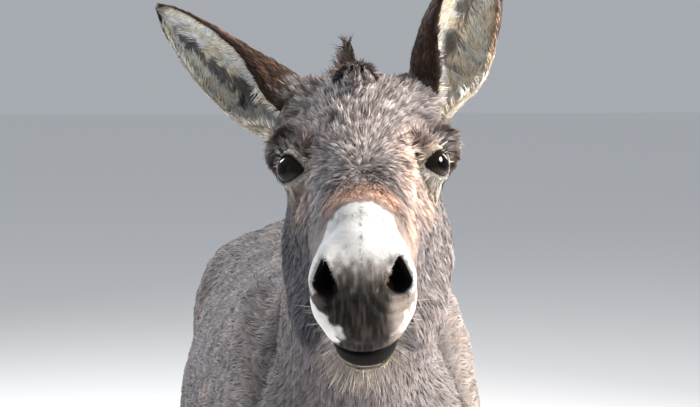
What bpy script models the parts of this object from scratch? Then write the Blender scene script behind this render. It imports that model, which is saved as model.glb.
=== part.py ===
# A standing donkey, life size. Metres, +Z up. The animal faces -Y and its left side is +X.
#
# The flesh is lofted, joined as one body, smoothed into a single surface, carved where the
# face needs it, and then parted with thin cuts into head, neck, trunk and legs. Ears, eyes,
# mane, forelock, tail and hooves are shapes of their own that meet the body face to face.
# Every outline is the outside of the coat.

import math

import bmesh
import bpy
import numpy as np
from mathutils import Matrix, Vector
from mathutils.bvhtree import BVHTree

# ---------------------------------------------------------------- driving sizes
GAP = 0.0003                   # clear space between two parts that meet
VOXEL = 0.004                  # grain of the joined body before it is thinned out

# Head: its pose, and where the point midway between the eyes stands.
HEAD_PITCH = math.radians(13.6)  # nose below the horizontal
HEAD_YAW = math.radians(-5.6)    # turned to the animal's right
HEAD_ROLL = math.radians(-2.2)   # left side carried a little higher
EYE_MIDDLE = Vector((-0.033, -0.700, 1.220))

# Places on the head are (side, along, down): side from its middle, along from the poll to the
# nose, down from the straight line of the nose.
EYE = Vector((0.0585, 0.177, 0.0435))
GAZE = Vector((0.74, 0.55, -0.40)).normalized()
EYE_RADIUS = 0.0205
# The point on the head that stands at EYE_MIDDLE.
EYE_ALONG, EYE_DOWN = 0.170, 0.050
ORBIT_RADIUS = 0.0365
ORBIT_BEHIND_EYE = 0.024

EAR_LENGTH = 0.225
EAR_WALL = 0.0052
EAR_BASE = Vector((0.071, 0.032, 0.029))
# Direction of each ear and of its opening, in the model's frame.
EARS = {
    "right": (Vector((-0.69, 0.47, 0.49)), Vector((-0.60, -0.72, -0.22))),
    "left": (Vector((0.40, 0.14, 0.90)), Vector((0.50, -0.85, 0.0))),
}
# Ear sections from root to tip: share of the length, radius, half angle of the wall in degrees.
EAR_SHAPE = [
    (0.00, 0.0370, 160),
    (0.12, 0.0405, 146),
    (0.26, 0.0415, 122),
    (0.42, 0.0410, 100),
    (0.60, 0.0380, 86),
    (0.76, 0.0310, 78),
    (0.88, 0.0215, 72),
    (0.96, 0.0120, 68),
    (1.00, 0.0055, 64),
]

# Triangles left in each region, and then in all but the head, across the regions' borders.
TRIANGLES = {"head": 2200, "legs": 1000, "rest": 1500, "body": 2450}

# Trunk sections from the chest to the buttocks: y, top, bottom, half width.
TRUNK = [
    (-0.435, 0.880, 0.720, 0.060),
    (-0.400, 0.960, 0.650, 0.118),
    (-0.320, 1.030, 0.605, 0.156),
    (-0.180, 1.072, 0.580, 0.176),
    (-0.060, 1.076, 0.566, 0.196),
    (0.080, 1.054, 0.556, 0.226),
    (0.200, 1.047, 0.554, 0.238),
    (0.310, 1.054, 0.576, 0.232),
    (0.410, 1.068, 0.622, 0.213),
    (0.510, 1.066, 0.690, 0.190),
    (0.600, 1.030, 0.740, 0.160),
    (0.670, 0.965, 0.780, 0.112),
    (0.705, 0.915, 0.810, 0.060),
]

TRUNK_WIDEST = 0.44            # share of its height at which the trunk is widest

# Neck sections from inside the shoulders to behind the jaw: x, y, z, half depth, half width.
NECK = [
    (0.000, -0.170, 0.900, 0.210, 0.125),
    (-0.004, -0.275, 0.972, 0.180, 0.109),
    (-0.012, -0.360, 1.050, 0.147, 0.091),
    (-0.022, -0.425, 1.120, 0.124, 0.080),
    (-0.029, -0.480, 1.172, 0.110, 0.074),
    (-0.033, -0.545, 1.200, 0.094, 0.066),
]

# Leg sections from inside the body to the coronet: height, y, half depth, half width, x.
FORE_LEG = [
    (0.820, -0.190, 0.100, 0.045, 0.105),
    (0.700, -0.208, 0.092, 0.056, 0.122),
    (0.620, -0.222, 0.074, 0.052, 0.122),
    (0.530, -0.234, 0.055, 0.044, 0.118),
    (0.450, -0.240, 0.044, 0.037, 0.115),
    (0.390, -0.243, 0.039, 0.036, 0.114),
    (0.345, -0.248, 0.042, 0.040, 0.114),
    (0.300, -0.243, 0.034, 0.031, 0.114),
    (0.230, -0.239, 0.029, 0.025, 0.114),
    (0.180, -0.239, 0.030, 0.026, 0.114),
    (0.142, -0.237, 0.036, 0.031, 0.114),
    (0.105, -0.253, 0.029, 0.028, 0.114),
    (0.045, -0.276, 0.036, 0.034, 0.114),
]
HIND_LEG = [
    (0.940, 0.480, 0.140, 0.060, 0.105),
    (0.820, 0.505, 0.168, 0.078, 0.122),
    (0.710, 0.500, 0.140, 0.074, 0.134),
    (0.630, 0.522, 0.100, 0.060, 0.130),
    (0.550, 0.578, 0.067, 0.046, 0.122),
    (0.480, 0.632, 0.050, 0.037, 0.116),
    (0.428, 0.656, 0.050, 0.037, 0.113),
    (0.370, 0.663, 0.040, 0.032, 0.112),
    (0.290, 0.660, 0.031, 0.026, 0.111),
    (0.200, 0.655, 0.030, 0.026, 0.111),
    (0.150, 0.652, 0.036, 0.031, 0.111),
    (0.110, 0.636, 0.029, 0.028, 0.111),
    (0.045, 0.612, 0.036, 0.034, 0.111),
]
# How far each foot stands behind (+) or before (-) its plain place, reached by this height.
STANCE = {
    ("fore", "left"): -0.030,
    ("fore", "right"): 0.020,
    ("hind", "left"): 0.035,
    ("hind", "right"): -0.045,
}
SWING_TOP, SWING_REACH = 0.80, 0.55
# Where each pair of legs is parted from the trunk, and how far out the cut runs round the leg.
LEG_CUT = {"fore": 0.690, "hind": 0.770}
LEG_CUT_SLOPE = 0.35
LEG_CUT_MARGIN = 0.018
LEG_CUT_BACK = {"fore": 0.0, "hind": 0.022}

HOOF_HEIGHT = 0.062
# Hoof sections: height, shift forwards, half depth, half width.
HOOF = [
    (0.000, 0.022, 0.0500, 0.0410),
    (0.004, 0.021, 0.0510, 0.0420),
    (0.020, 0.015, 0.0480, 0.0405),
    (0.045, 0.006, 0.0425, 0.0380),
    (0.062, 0.000, 0.0375, 0.0355),
]

# Skull sections from behind the poll to the nose: along, top, bottom, half width, squareness.
SKULL = [
    (-0.030, 0.050, 0.140, 0.045, 2.0),
    (0.000, 0.002, 0.190, 0.067, 2.1),
    (0.040, -0.019, 0.222, 0.080, 2.4),
    (0.090, -0.025, 0.240, 0.083, 2.3),
    (0.140, -0.017, 0.240, 0.082, 2.3),
    (0.190, -0.005, 0.228, 0.077, 2.4),
    (0.240, 0.001, 0.208, 0.067, 2.4),
    (0.290, 0.002, 0.178, 0.055, 2.4),
    (0.340, 0.001, 0.150, 0.049, 2.3),
    (0.385, 0.001, 0.130, 0.047, 2.2),
    (0.430, 0.006, 0.122, 0.043, 2.1),
    (0.470, 0.028, 0.108, 0.030, 2.0),
    (0.488, 0.052, 0.090, 0.012, 2.0),
]
# Rounded masses of the head: (side, along, down), half sizes in that order, and whether paired.
HEAD_MASSES = [
    ((0.038, 0.112, 0.150), (0.055, 0.104, 0.088), True),    # cheek
    ((0.041, 0.205, 0.158), (0.042, 0.125, 0.048), True),    # side of the lower jaw
    ((0.068, 0.122, 0.046), (0.038, 0.047, 0.036), True),    # brow over the eye
    ((0.050, 0.036, 0.020), (0.045, 0.040, 0.038), True),    # root of the ear
    ((0.000, 0.430, 0.064), (0.050, 0.058, 0.058), False),   # muzzle
    ((0.030, 0.450, 0.046), (0.022, 0.034, 0.030), True),    # wing of the nostril
    ((0.000, 0.462, 0.078), (0.038, 0.030, 0.030), False),   # upper lip
    ((0.000, 0.430, 0.112), (0.034, 0.042, 0.027), False),   # chin
]
# Rounded masses of the body: centre, half sizes, tilt about X in degrees; each is paired.
BODY_MASSES = [
    ((0.112, -0.205, 0.860), (0.062, 0.100, 0.205), -22),    # shoulder blade
    ((0.088, -0.342, 0.748), (0.060, 0.070, 0.108), -10),    # point of the shoulder
    ((0.112, 0.470, 0.868), (0.107, 0.175, 0.165), 20),      # haunch
    ((0.118, 0.585, 0.780), (0.075, 0.110, 0.150), 12),      # back of the thigh
]
HOCK_POINT = ((0.113, 0.692, 0.462), (0.017, 0.024, 0.036), -18)

# Features carved into the face: place, reach (side, along, down), push (side, along, down).
FACE_CARVING = [
    ((0.034, 0.478, 0.044), (0.0085, 0.016, 0.0130), (-0.006, -0.022, 0.004)),  # nostril
    ((0.052, 0.440, 0.040), (0.010, 0.016, 0.010), (-0.004, 0.000, 0.002)),  # behind the nostril
    ((0.072, 0.215, 0.085), (0.012, 0.045, 0.009), (0.004, 0.000, 0.000)),   # facial crest
    ((0.058, 0.255, 0.050), (0.016, 0.045, 0.018), (-0.005, 0.000, 0.001)),  # hollow of the face
    ((0.056, 0.118, -0.002), (0.012, 0.016, 0.012), (0.000, 0.000, 0.004)),  # hollow over the eye
]
MOUTH = {"down": 0.099, "from": 0.392, "reach": 0.0034, "depth": 0.0065}

# Mane: from the withers to between the ears.
MANE = {"from": -0.120, "to": -0.562, "steps": 11, "height": 0.046, "half_width": 0.019, "sunk": 0.022}
# Tail path: y, z, half depth, half width; the tuft begins part of the way down.
TAIL = [
    (0.610, 0.975, 0.034, 0.036),
    (0.675, 0.968, 0.032, 0.034),
    (0.722, 0.930, 0.029, 0.030),
    (0.744, 0.860, 0.024, 0.025),
    (0.750, 0.760, 0.021, 0.022),
    (0.748, 0.660, 0.020, 0.021),
    (0.745, 0.600, 0.027, 0.030),
    (0.744, 0.530, 0.033, 0.038),
    (0.746, 0.460, 0.026, 0.029),
    (0.748, 0.410, 0.008, 0.009),
]
TUFT_TOP = 0.640

# Cuts that part head from neck and neck from trunk: a point, and the way the head lies.
HEAD_CUT = (Vector((0.0, -0.500, 1.180)), Vector((0.0, -1.0, 0.06)).normalized())
NECK_CUT = (Vector((0.0, -0.275, 0.970)), Vector((0.0, -0.70, 0.71)).normalized())

COLOURS = {
    "coat": (0.30, 0.27, 0.26, 1.0),
    "ear": (0.22, 0.17, 0.14, 1.0),
    "mane": (0.12, 0.09, 0.08, 1.0),
    "eye": (0.02, 0.012, 0.010, 1.0),
    "hoof": (0.09, 0.08, 0.075, 1.0),
}


# ---------------------------------------------------------------- small tools
def smooth_rows(rows, count):
    """Rows of numbers read at `count` even steps along a Catmull-Rom curve through them."""
    rows = np.array(rows, float)
    last = len(rows) - 1
    padded = np.vstack([2 * rows[0] - rows[1], rows, 2 * rows[-1] - rows[-2]])
    found = []
    for t in np.linspace(0, last, count):
        i = min(int(t), last - 1)
        s = t - i
        a, b, c, d = padded[i : i + 4]
        bend = (2 * a - 5 * b + 4 * c - d) * s**2 + (3 * b - a - 3 * c + d) * s**3
        found.append(0.5 * (2 * b + (c - a) * s + bend))
    return np.array(found)


def smoothstep(x):
    x = np.clip(x, 0, 1)
    return x * x * (3 - 2 * x)


def object_of(bm, name):
    """A linked object for a bmesh, which is freed."""
    mesh = bpy.data.meshes.new(name)
    bm.to_mesh(mesh)
    bm.free()
    obj = bpy.data.objects.new(name, mesh)
    bpy.context.scene.collection.objects.link(obj)
    return obj


def copy_of(obj, name):
    made = bpy.data.objects.new(name, obj.data.copy())
    bpy.context.scene.collection.objects.link(made)
    return made


def remove(obj):
    mesh = obj.data
    bpy.data.objects.remove(obj)
    bpy.data.meshes.remove(mesh)


def apply_modifiers(obj):
    bpy.context.view_layer.update()
    graph = bpy.context.evaluated_depsgraph_get()
    made = bpy.data.meshes.new_from_object(obj.evaluated_get(graph))
    obj.modifiers.clear()
    old = obj.data
    obj.data = made
    bpy.data.meshes.remove(old)


def points_of(mesh):
    co = np.empty(len(mesh.vertices) * 3, np.float32)
    mesh.vertices.foreach_get("co", co)
    return co.reshape(-1, 3).astype(float)


def set_points(mesh, co):
    mesh.vertices.foreach_set("co", co.astype(np.float32).ravel())
    mesh.update()


def normals_of(mesh):
    found = np.empty(len(mesh.vertices) * 3, np.float32)
    mesh.vertex_normals.foreach_get("vector", found)
    return found.reshape(-1, 3).astype(float)


def section(sides, squareness, wide, up, down):
    """Points (across, upward) of a superellipse whose upper and lower halves differ in height."""
    found = []
    for k in range(sides):
        turn = 2 * math.pi * k / sides
        c, s = math.cos(turn), math.sin(turn)
        across = math.copysign(abs(c) ** (2 / squareness), c) * wide
        upward = math.copysign(abs(s) ** (2 / squareness), s) * (up if s > 0 else down)
        found.append((across, upward))
    return found


def loft(frames):
    """A closed tube through frames of (centre, side axis, up axis, (across, upward) points)."""
    bm = bmesh.new()
    sides = len(frames[0][3])
    made = bmesh.ops.create_circle(bm, segments=sides, radius=1)
    ring = made["verts"]
    ring.sort(key=lambda v: math.atan2(v.co.y, v.co.x) % (2 * math.pi - 1e-6))
    first = list(ring)
    for number, (centre, side, up, points) in enumerate(frames):
        if number:
            edges = [bm.edges.get((ring[k - 1], ring[k])) for k in range(sides)]
            made = bmesh.ops.extrude_edge_only(bm, edges=edges)
            new = {v for v in made["geom"] if isinstance(v, bmesh.types.BMVert)}
            ring = [next(e.other_vert(v) for e in v.link_edges if e.other_vert(v) in new) for v in ring]
        for vert, (across, upward) in zip(ring, points):
            vert.co = centre + side * across + up * upward
    for edge_ring in (first, ring):
        ends = [bm.edges.get((edge_ring[k - 1], edge_ring[k])) for k in range(sides)]
        bmesh.ops.contextual_create(bm, geom=ends)
    bmesh.ops.recalc_face_normals(bm, faces=bm.faces)
    return bm


def path_frames(centres, shapes, squareness=2.1, sides=28):
    """Loft frames square to the path through centres. shapes holds (half width, half depth)."""
    frames = []
    for i, centre in enumerate(centres):
        ahead = (centres[min(i + 1, len(centres) - 1)] - centres[max(i - 1, 0)]).normalized()
        side = (Vector((1, 0, 0)) - ahead * ahead.x).normalized()
        wide, deep = shapes[i]
        frames.append((centre, side, side.cross(ahead), section(sides, squareness, wide, deep, deep)))
    return frames


def mass(bm, centre, sizes, tilt=0):
    """An ellipsoid added to bm, tilted about X by so many degrees."""
    turn = Matrix.Rotation(math.radians(tilt), 4, "X")
    place = Matrix.Translation(centre) @ turn @ Matrix.Diagonal((*sizes, 1))
    bmesh.ops.create_uvsphere(bm, u_segments=28, v_segments=18, radius=1, matrix=place)


def boolean(obj, other, operation):
    """obj joined with, cut by or cut to other, which is then removed."""
    step = obj.modifiers.new(operation.lower(), "BOOLEAN")
    step.operation = operation
    step.solver = "EXACT"
    step.object = other
    apply_modifiers(obj)
    remove(other)
    return obj


def grown(obj, by):
    """A copy of obj with its surface moved out by this much."""
    made = copy_of(obj, "grown")
    set_points(made.data, points_of(made.data) + normals_of(made.data) * by)
    return made


def keep_largest(obj):
    """Drops any crumb that a cut left beside the piece itself."""
    bm = bmesh.new()
    bm.from_mesh(obj.data)
    left = set(bm.verts)
    islands = []
    while left:
        found, queue = set(), [left.pop()]
        while queue:
            vert = queue.pop()
            found.add(vert)
            for edge in vert.link_edges:
                other = edge.other_vert(vert)
                if other in left:
                    left.discard(other)
                    queue.append(other)
        islands.append(found)
    islands.sort(key=len)
    for island in islands[:-1]:
        bmesh.ops.delete(bm, geom=list(island), context="VERTS")
    bm.to_mesh(obj.data)
    bm.free()
    return obj


# ---------------------------------------------------------------- head frame
def head_axes(side, along, down):
    """A place on the head, given along its own lines, as x, y and z before the head is posed."""
    return Vector((side, -along, -down))


HEAD_MATRIX = (
    Matrix.Translation(EYE_MIDDLE)
    @ Matrix.Rotation(HEAD_YAW, 4, "Z")
    @ Matrix.Rotation(HEAD_PITCH, 4, "X")
    @ Matrix.Rotation(HEAD_ROLL, 4, "Y")
    @ Matrix.Translation(-head_axes(0, EYE_ALONG, EYE_DOWN))
)


# ---------------------------------------------------------------- forms of the body
def trunk_form():
    frames = []
    for y, top, bottom, wide in smooth_rows(TRUNK, 40):
        middle = bottom + TRUNK_WIDEST * (top - bottom)
        shape = section(32, 2.0, wide, top - middle, middle - bottom)
        frames.append((Vector((0, y, middle)), Vector((1, 0, 0)), Vector((0, 0, 1)), shape))
    return loft(frames)


def neck_form():
    rows = smooth_rows(NECK, 20)
    return loft(path_frames([Vector(r[:3]) for r in rows], [(r[4], r[3]) for r in rows]))


def leg_rows(which, side_name, count):
    """Leg sections with the stance in them: height, y, half depth, half width, x."""
    rows = smooth_rows(FORE_LEG if which == "fore" else HIND_LEG, count)
    rows[:, 1] += STANCE[which, side_name] * smoothstep((SWING_TOP - rows[:, 0]) / SWING_REACH)
    rows[:, 4] *= 1 if side_name == "left" else -1
    return rows


def leg_form(which, side_name):
    rows = leg_rows(which, side_name, 40)
    centres = [Vector((x, y, z)) for z, y, _, _, x in rows]
    bm = loft(path_frames(centres, [(wide, deep) for _, _, deep, wide, _ in rows], 2.2))
    if which == "hind":
        (x, y, z), sizes, tilt = HOCK_POINT
        swing = STANCE[which, side_name] * smoothstep((SWING_TOP - z) / SWING_REACH)
        mass(bm, (math.copysign(x, centres[0].x), y + swing, z), sizes, tilt)
    return bm


def body_masses_form():
    bm = bmesh.new()
    for (x, y, z), sizes, tilt in BODY_MASSES:
        for side in (1, -1):
            mass(bm, (side * x, y, z), sizes, tilt)
    return bm


def head_form():
    frames = []
    for along, top, bottom, wide, squareness in smooth_rows(SKULL, 36):
        half = (bottom - top) / 2
        shape = section(32, squareness, wide, half, half)
        frames.append((head_axes(0, along, top + half), Vector((1, 0, 0)), Vector((0, 0, 1)), shape))
    bm = loft(frames)
    for (side, along, down), sizes, paired in HEAD_MASSES:
        for sign in (1, -1) if paired else (1,):
            mass(bm, head_axes(sign * side, along, down), sizes)
    orbit = EYE - GAZE * ORBIT_BEHIND_EYE
    for sign in (1, -1):
        mass(bm, head_axes(sign * orbit.x, orbit.y, orbit.z), (ORBIT_RADIUS,) * 3)
    bmesh.ops.transform(bm, matrix=HEAD_MATRIX, verts=bm.verts)
    return bm


def joined_body():
    """All the flesh as one closed, evenly grained surface."""
    whole = bmesh.new()
    forms = [trunk_form(), neck_form(), body_masses_form(), head_form()]
    forms += [leg_form(which, side) for which, side in STANCE]
    for form in forms:
        mesh = bpy.data.meshes.new("form")
        form.to_mesh(mesh)
        form.free()
        whole.from_mesh(mesh)
        bpy.data.meshes.remove(mesh)
    body = object_of(whole, "body")
    join = body.modifiers.new("join", "REMESH")
    join.mode = "VOXEL"
    join.voxel_size = VOXEL
    apply_modifiers(body)
    return body


def relax(mesh, weights, rounds):
    """Moves each vertex part of the way to the middle of its neighbours, over and over."""
    co = points_of(mesh)
    edges = np.empty(len(mesh.edges) * 2, np.int32)
    mesh.edges.foreach_get("vertices", edges)
    a, b = edges.reshape(-1, 2).T
    size = len(co)
    count = np.bincount(a, minlength=size) + np.bincount(b, minlength=size)
    for _ in range(rounds):
        for axis in range(3):
            total = np.bincount(a, co[b, axis], size) + np.bincount(b, co[a, axis], size)
            co[:, axis] += (total / count - co[:, axis]) * weights
    set_points(mesh, co)


def head_lines(co):
    """Side, along and down of each point, on the head's own lines."""
    back = np.array(HEAD_MATRIX.inverted())
    own = co @ back[:3, :3].T + back[:3, 3]
    return own * (1, -1, -1)


def blend_forms(mesh):
    """Smooths the joins between the forms: freely on the trunk, lightly on legs and face."""
    co = points_of(mesh)
    on_leg = 0.88 * smoothstep((0.60 - co[:, 2]) / 0.12)
    along = head_lines(co)[:, 1]
    on_head = 0.70 * smoothstep((along - 0.02) / 0.08) + 0.20 * smoothstep((along - 0.34) / 0.06)
    relax(mesh, 0.5 * (1 - np.maximum(on_leg, on_head * (co[:, 1] < -0.45))), 110)
    relax(mesh, np.full(len(co), 0.3), 3)


def carve_face(mesh):
    """Nostrils, hollows, crest and mouth, pushed into the smooth head."""
    co = points_of(mesh)
    own = head_lines(co)
    push = np.zeros_like(own)
    near = co[:, 1] < -0.45
    for place, reach, move in FACE_CARVING:
        for sign in (1, -1):
            centre = np.array(place) * (sign, 1, 1)
            amount = np.exp(-(((own - centre) / reach) ** 2).sum(axis=1)) * near
            push += amount[:, None] * np.array(move) * (sign, 1, 1)
    # The mouth runs round the muzzle at one depth and fades out at its corners.
    line = np.exp(-(((own[:, 2] - MOUTH["down"]) / MOUTH["reach"]) ** 2))
    line *= smoothstep((own[:, 1] - MOUTH["from"]) / 0.02) * near * MOUTH["depth"]
    inward = own - np.array([0, 0.40, MOUTH["down"]])
    inward[:, 2] = 0
    inward /= np.linalg.norm(inward, axis=1)[:, None] + 1e-9
    push -= inward * line[:, None]
    turn = np.array(HEAD_MATRIX)[:3, :3]
    set_points(mesh, co + (push * (1, -1, -1)) @ turn.T)


def thin_out(obj, chosen, wanted):
    """Brings the triangles of the chosen vertices down to a wanted number; the rest stay."""
    group = obj.vertex_groups.new(name="thin")
    group.add([int(i) for i in np.nonzero(chosen)[0]], 1.0, "REPLACE")
    ends = np.empty(len(obj.data.polygons) * 3, np.int32)
    obj.data.polygons.foreach_get("vertices", ends)
    inside = chosen[ends.reshape(-1, 3)].all(axis=1).sum()
    total = len(obj.data.polygons)
    step = obj.modifiers.new("thin", "DECIMATE")
    step.vertex_group = "thin"
    step.vertex_group_factor = 1.0
    step.ratio = (total - inside + wanted) / total
    apply_modifiers(obj)
    obj.vertex_groups.clear()


def triangulate(obj):
    bm = bmesh.new()
    bm.from_mesh(obj.data)
    bmesh.ops.triangulate(bm, faces=bm.faces)
    bm.to_mesh(obj.data)
    bm.free()


def region_masks(mesh):
    co = points_of(mesh)
    head = (co[:, 1] < -0.50) & (co[:, 2] > 0.95)
    legs = co[:, 2] < 0.58
    body = ~head | (co[:, 1] > -0.53)
    return {"head": head, "legs": legs, "rest": ~head & ~legs, "body": body}


def body_surface():
    body = joined_body()
    blend_forms(body.data)
    carve_face(body.data)
    triangulate(body)
    for region, wanted in TRIANGLES.items():
        thin_out(body, region_masks(body.data)[region], wanted)
    return body


# ---------------------------------------------------------------- parting the body
def cut_by_plane(obj, point, normal):
    """Keeps what lies on the far side of a plane, and closes the cut with one flat face."""
    bm = bmesh.new()
    bm.from_mesh(obj.data)
    geom = bm.verts[:] + bm.edges[:] + bm.faces[:]
    bmesh.ops.bisect_plane(
        bm, geom=geom, dist=1e-6, plane_co=point, plane_no=normal, clear_inner=True
    )
    bmesh.ops.holes_fill(bm, edges=[e for e in bm.edges if e.is_boundary], sides=0)
    bmesh.ops.recalc_face_normals(bm, faces=bm.faces)
    bm.to_mesh(obj.data)
    bm.free()
    return keep_largest(obj)


def leg_sleeve(which, side_name, grow):
    """A closed sleeve round a leg, up to the slanting cut that parts it from the trunk."""
    rows = [r for r in leg_rows(which, side_name, 9) if r[0] < LEG_CUT[which]]
    x = rows[0][4]
    frames = []
    for number, (_, y, deep, wide, _) in enumerate([rows[0], *rows]):
        slope = LEG_CUT_SLOPE * math.copysign(1, x) if number == 0 else 0
        z = LEG_CUT[which] + grow if number == 0 else rows[number - 1][0] - 0.04
        margin = LEG_CUT_MARGIN + grow
        shape = section(12, 2.2, wide + margin, deep + margin, deep + margin)
        centre = Vector((rows[number - 1][4] if number else x, y + LEG_CUT_BACK[which], z))
        frames.append((centre, Vector((1, 0, slope)), Vector((0, 1, 0)), shape))
    bm = loft(frames)
    bmesh.ops.triangulate(bm, faces=bm.faces, quad_method="FIXED")
    return object_of(bm, "sleeve")


def part_legs(trunk):
    """Each leg as a piece of its own, cut from the trunk."""
    legs = {}
    for which, side_name in STANCE:
        leg = copy_of(trunk, f"{which}_leg_{side_name}")
        boolean(leg, leg_sleeve(which, side_name, 0), "INTERSECT")
        legs[which, side_name] = keep_largest(leg)
    for which, side_name in STANCE:
        boolean(trunk, leg_sleeve(which, side_name, 2 * GAP), "DIFFERENCE")
    keep_largest(trunk)
    for leg in legs.values():
        cut_by_plane(leg, Vector((0, 0, HOOF_HEIGHT + GAP)), Vector((0, 0, 1)))
    return legs


# ---------------------------------------------------------------- pieces set on the body
def hoof(which, side_name):
    foot = leg_rows(which, side_name, 40)[-1]
    frames = []
    for z, forward, deep, wide in HOOF:
        centre = Vector((foot[4], foot[1] - forward, z))
        frames.append((centre, Vector((1, 0, 0)), Vector((0, 1, 0)), section(16, 2.2, wide, deep, deep)))
    return object_of(loft(frames), f"{which}_hoof_{side_name}")


def ear(side_name):
    axis, opening = EARS[side_name]
    sign = 1 if side_name == "left" else -1
    axis = axis.normalized()
    opening = (opening - axis * axis.dot(opening)).normalized()
    side = axis.cross(opening)
    base = HEAD_MATRIX @ head_axes(sign * EAR_BASE.x, EAR_BASE.y, EAR_BASE.z)
    frames = []
    for share, radius, half_angle in smooth_rows(EAR_SHAPE, 10):
        wall = min(EAR_WALL, 0.6 * radius)
        turns = [math.radians(half_angle) * k / 3 for k in range(-3, 4)]
        outer = [(radius * math.sin(t), -radius * math.cos(t)) for t in turns]
        thin = radius - wall
        inner = [(thin * math.sin(t), -thin * math.cos(t)) for t in reversed(turns)]
        centre = base + axis * (EAR_LENGTH * share) + opening * (0.5 * (radius - EAR_SHAPE[0][1]))
        frames.append((centre, side, opening, outer + inner))
    return object_of(loft(frames), f"ear_{side_name}")


def eye(side_name, radius, name):
    sign = 1 if side_name == "left" else -1
    bm = bmesh.new()
    gaze = head_axes(sign * GAZE.x, GAZE.y, GAZE.z)
    turn = gaze.to_track_quat("Z", "Y").to_matrix().to_4x4()
    place = HEAD_MATRIX @ Matrix.Translation(head_axes(sign * EYE.x, EYE.y, EYE.z)) @ turn
    bmesh.ops.create_uvsphere(bm, u_segments=14, v_segments=9, radius=radius, matrix=place)
    return object_of(bm, name)


def mane(body):
    """A short upright mane along the crest of the neck."""
    tree = BVHTree.FromObject(body, bpy.context.evaluated_depsgraph_get())
    crest = []
    for k in range(MANE["steps"] + 1):
        share = k / MANE["steps"]
        y = MANE["from"] + (MANE["to"] - MANE["from"]) * share
        x = EYE_MIDDLE.x * smoothstep((MANE["from"] - y) / 0.42)
        crest.append(tree.ray_cast(Vector((x, y, 2.0)), Vector((0, 0, -1)))[0])
    frames = []
    for k, foot in enumerate(crest):
        ahead = crest[min(k + 1, len(crest) - 1)] - crest[max(k - 1, 0)]
        up = Vector((1, 0, 0)).cross(ahead).normalized()
        up = up if up.z > 0 else -up
        share = k / MANE["steps"]
        rise = MANE["height"] * smoothstep(share / 0.18) * (1 + 0.2 * smoothstep((share - 0.8) / 0.1))
        wide = MANE["half_width"] * (0.55 + 0.45 * smoothstep(share / 0.25))
        low = -MANE["sunk"]
        outline = [(wide, low), (wide, 0.10 * rise), (0.62 * wide, 0.62 * rise), (0.22 * wide, rise)]
        outline += [(-across, upward) for across, upward in reversed(outline)]
        frames.append((foot, Vector((1, 0, 0)), up, outline))
    return object_of(loft(frames), "mane")


def forelock():
    """A small tuft that falls forwards between the ears."""
    rows = [(0.058, 0.000, 0.011), (0.068, -0.026, 0.015), (0.086, -0.034, 0.012), (0.106, -0.028, 0.004)]
    centres = [HEAD_MATRIX @ head_axes(-0.004, along, down) for along, down, _ in rows]
    shapes = [(half * 1.1, half * 0.8) for _, _, half in rows]
    return object_of(loft(path_frames(centres, shapes, 2.0, 12)), "forelock")


def tail_form(name):
    rows = smooth_rows(TAIL, 14)
    centres = [Vector((0, y, z)) for y, z, _, _ in rows]
    return object_of(loft(path_frames(centres, [(w, d) for _, _, d, w in rows], 2.0, 12)), name)


# ---------------------------------------------------------------- finish
def material(name):
    made = bpy.data.materials.new(name)
    made.use_nodes = True
    shader = made.node_tree.nodes["Principled BSDF"]
    shader.inputs["Base Color"].default_value = COLOURS[name]
    shader.inputs["Roughness"].default_value = 0.1 if name == "eye" else 0.85
    return made


def finish(obj, look):
    """Names, shades smooth and colours a finished piece."""
    obj.data.name = obj.name
    obj.data.materials.clear()
    obj.data.materials.append(material(look))
    obj.data.shade_smooth()


def centre_over_origin(objects):
    """Moves the whole so that its outer box is centred on the origin, with its feet as they are."""
    every = np.vstack([points_of(obj.data) for obj in objects])
    middle = (every.min(axis=0) + every.max(axis=0)) / 2 * (1, 1, 0)
    for obj in objects:
        set_points(obj.data, points_of(obj.data) - middle)


def build():
    for obj in list(bpy.data.objects):
        bpy.data.objects.remove(obj)
    body = body_surface()
    skin = grown(body, GAP * 1.2)

    pieces = {}
    for side_name in ("right", "left"):
        pieces[f"ear_{side_name}"] = (ear(side_name), "ear")
    pieces["mane"] = (mane(body), "mane")
    pieces["forelock"] = (forelock(), "mane")
    pieces["tail"] = (tail_form("tail"), "coat")
    pieces["tail_tuft"] = (tail_form("tail_tuft"), "mane")
    for name, (obj, _) in pieces.items():
        if name != "tail_tuft":
            boolean(obj, copy_of(skin, "cutter"), "DIFFERENCE")
            keep_largest(obj)
    cut_by_plane(pieces["tail"][0], Vector((0, 0, TUFT_TOP + GAP)), Vector((0, 0, 1)))
    cut_by_plane(pieces["tail_tuft"][0], Vector((0, 0, TUFT_TOP)), Vector((0, 0, -1)))
    remove(skin)

    head_point, head_way = HEAD_CUT
    neck_point, neck_way = NECK_CUT
    half = GAP / 2
    head = cut_by_plane(copy_of(body, "head"), head_point + head_way * half, head_way)
    neck = cut_by_plane(copy_of(body, "neck"), neck_point + neck_way * half, neck_way)
    cut_by_plane(neck, head_point - head_way * half, -head_way)
    trunk = cut_by_plane(copy_of(body, "trunk"), neck_point - neck_way * half, -neck_way)
    remove(body)

    for side_name in ("right", "left"):
        boolean(head, eye(side_name, EYE_RADIUS + GAP, "socket"), "DIFFERENCE")
        pieces[f"eye_{side_name}"] = (eye(side_name, EYE_RADIUS, f"eye_{side_name}"), "eye")
    keep_largest(head)
    for (which, side_name), leg in part_legs(trunk).items():
        pieces[leg.name] = (leg, "coat")
        pieces[f"{which}_hoof_{side_name}"] = (hoof(which, side_name), "hoof")
    pieces.update(head=(head, "coat"), neck=(neck, "coat"), trunk=(trunk, "coat"))
    centre_over_origin([obj for obj, _ in pieces.values()])
    for obj, look in pieces.values():
        finish(obj, look)


build()
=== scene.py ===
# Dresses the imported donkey: one skin with lids and folds, eyes, hooves, and a coat of tufts.
# Metres, +Z up. The animal faces -Y and its left side is +X.

import math

import bmesh
import bpy
import numpy as np
from mathutils import Matrix, Vector
from mathutils.kdtree import KDTree


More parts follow.
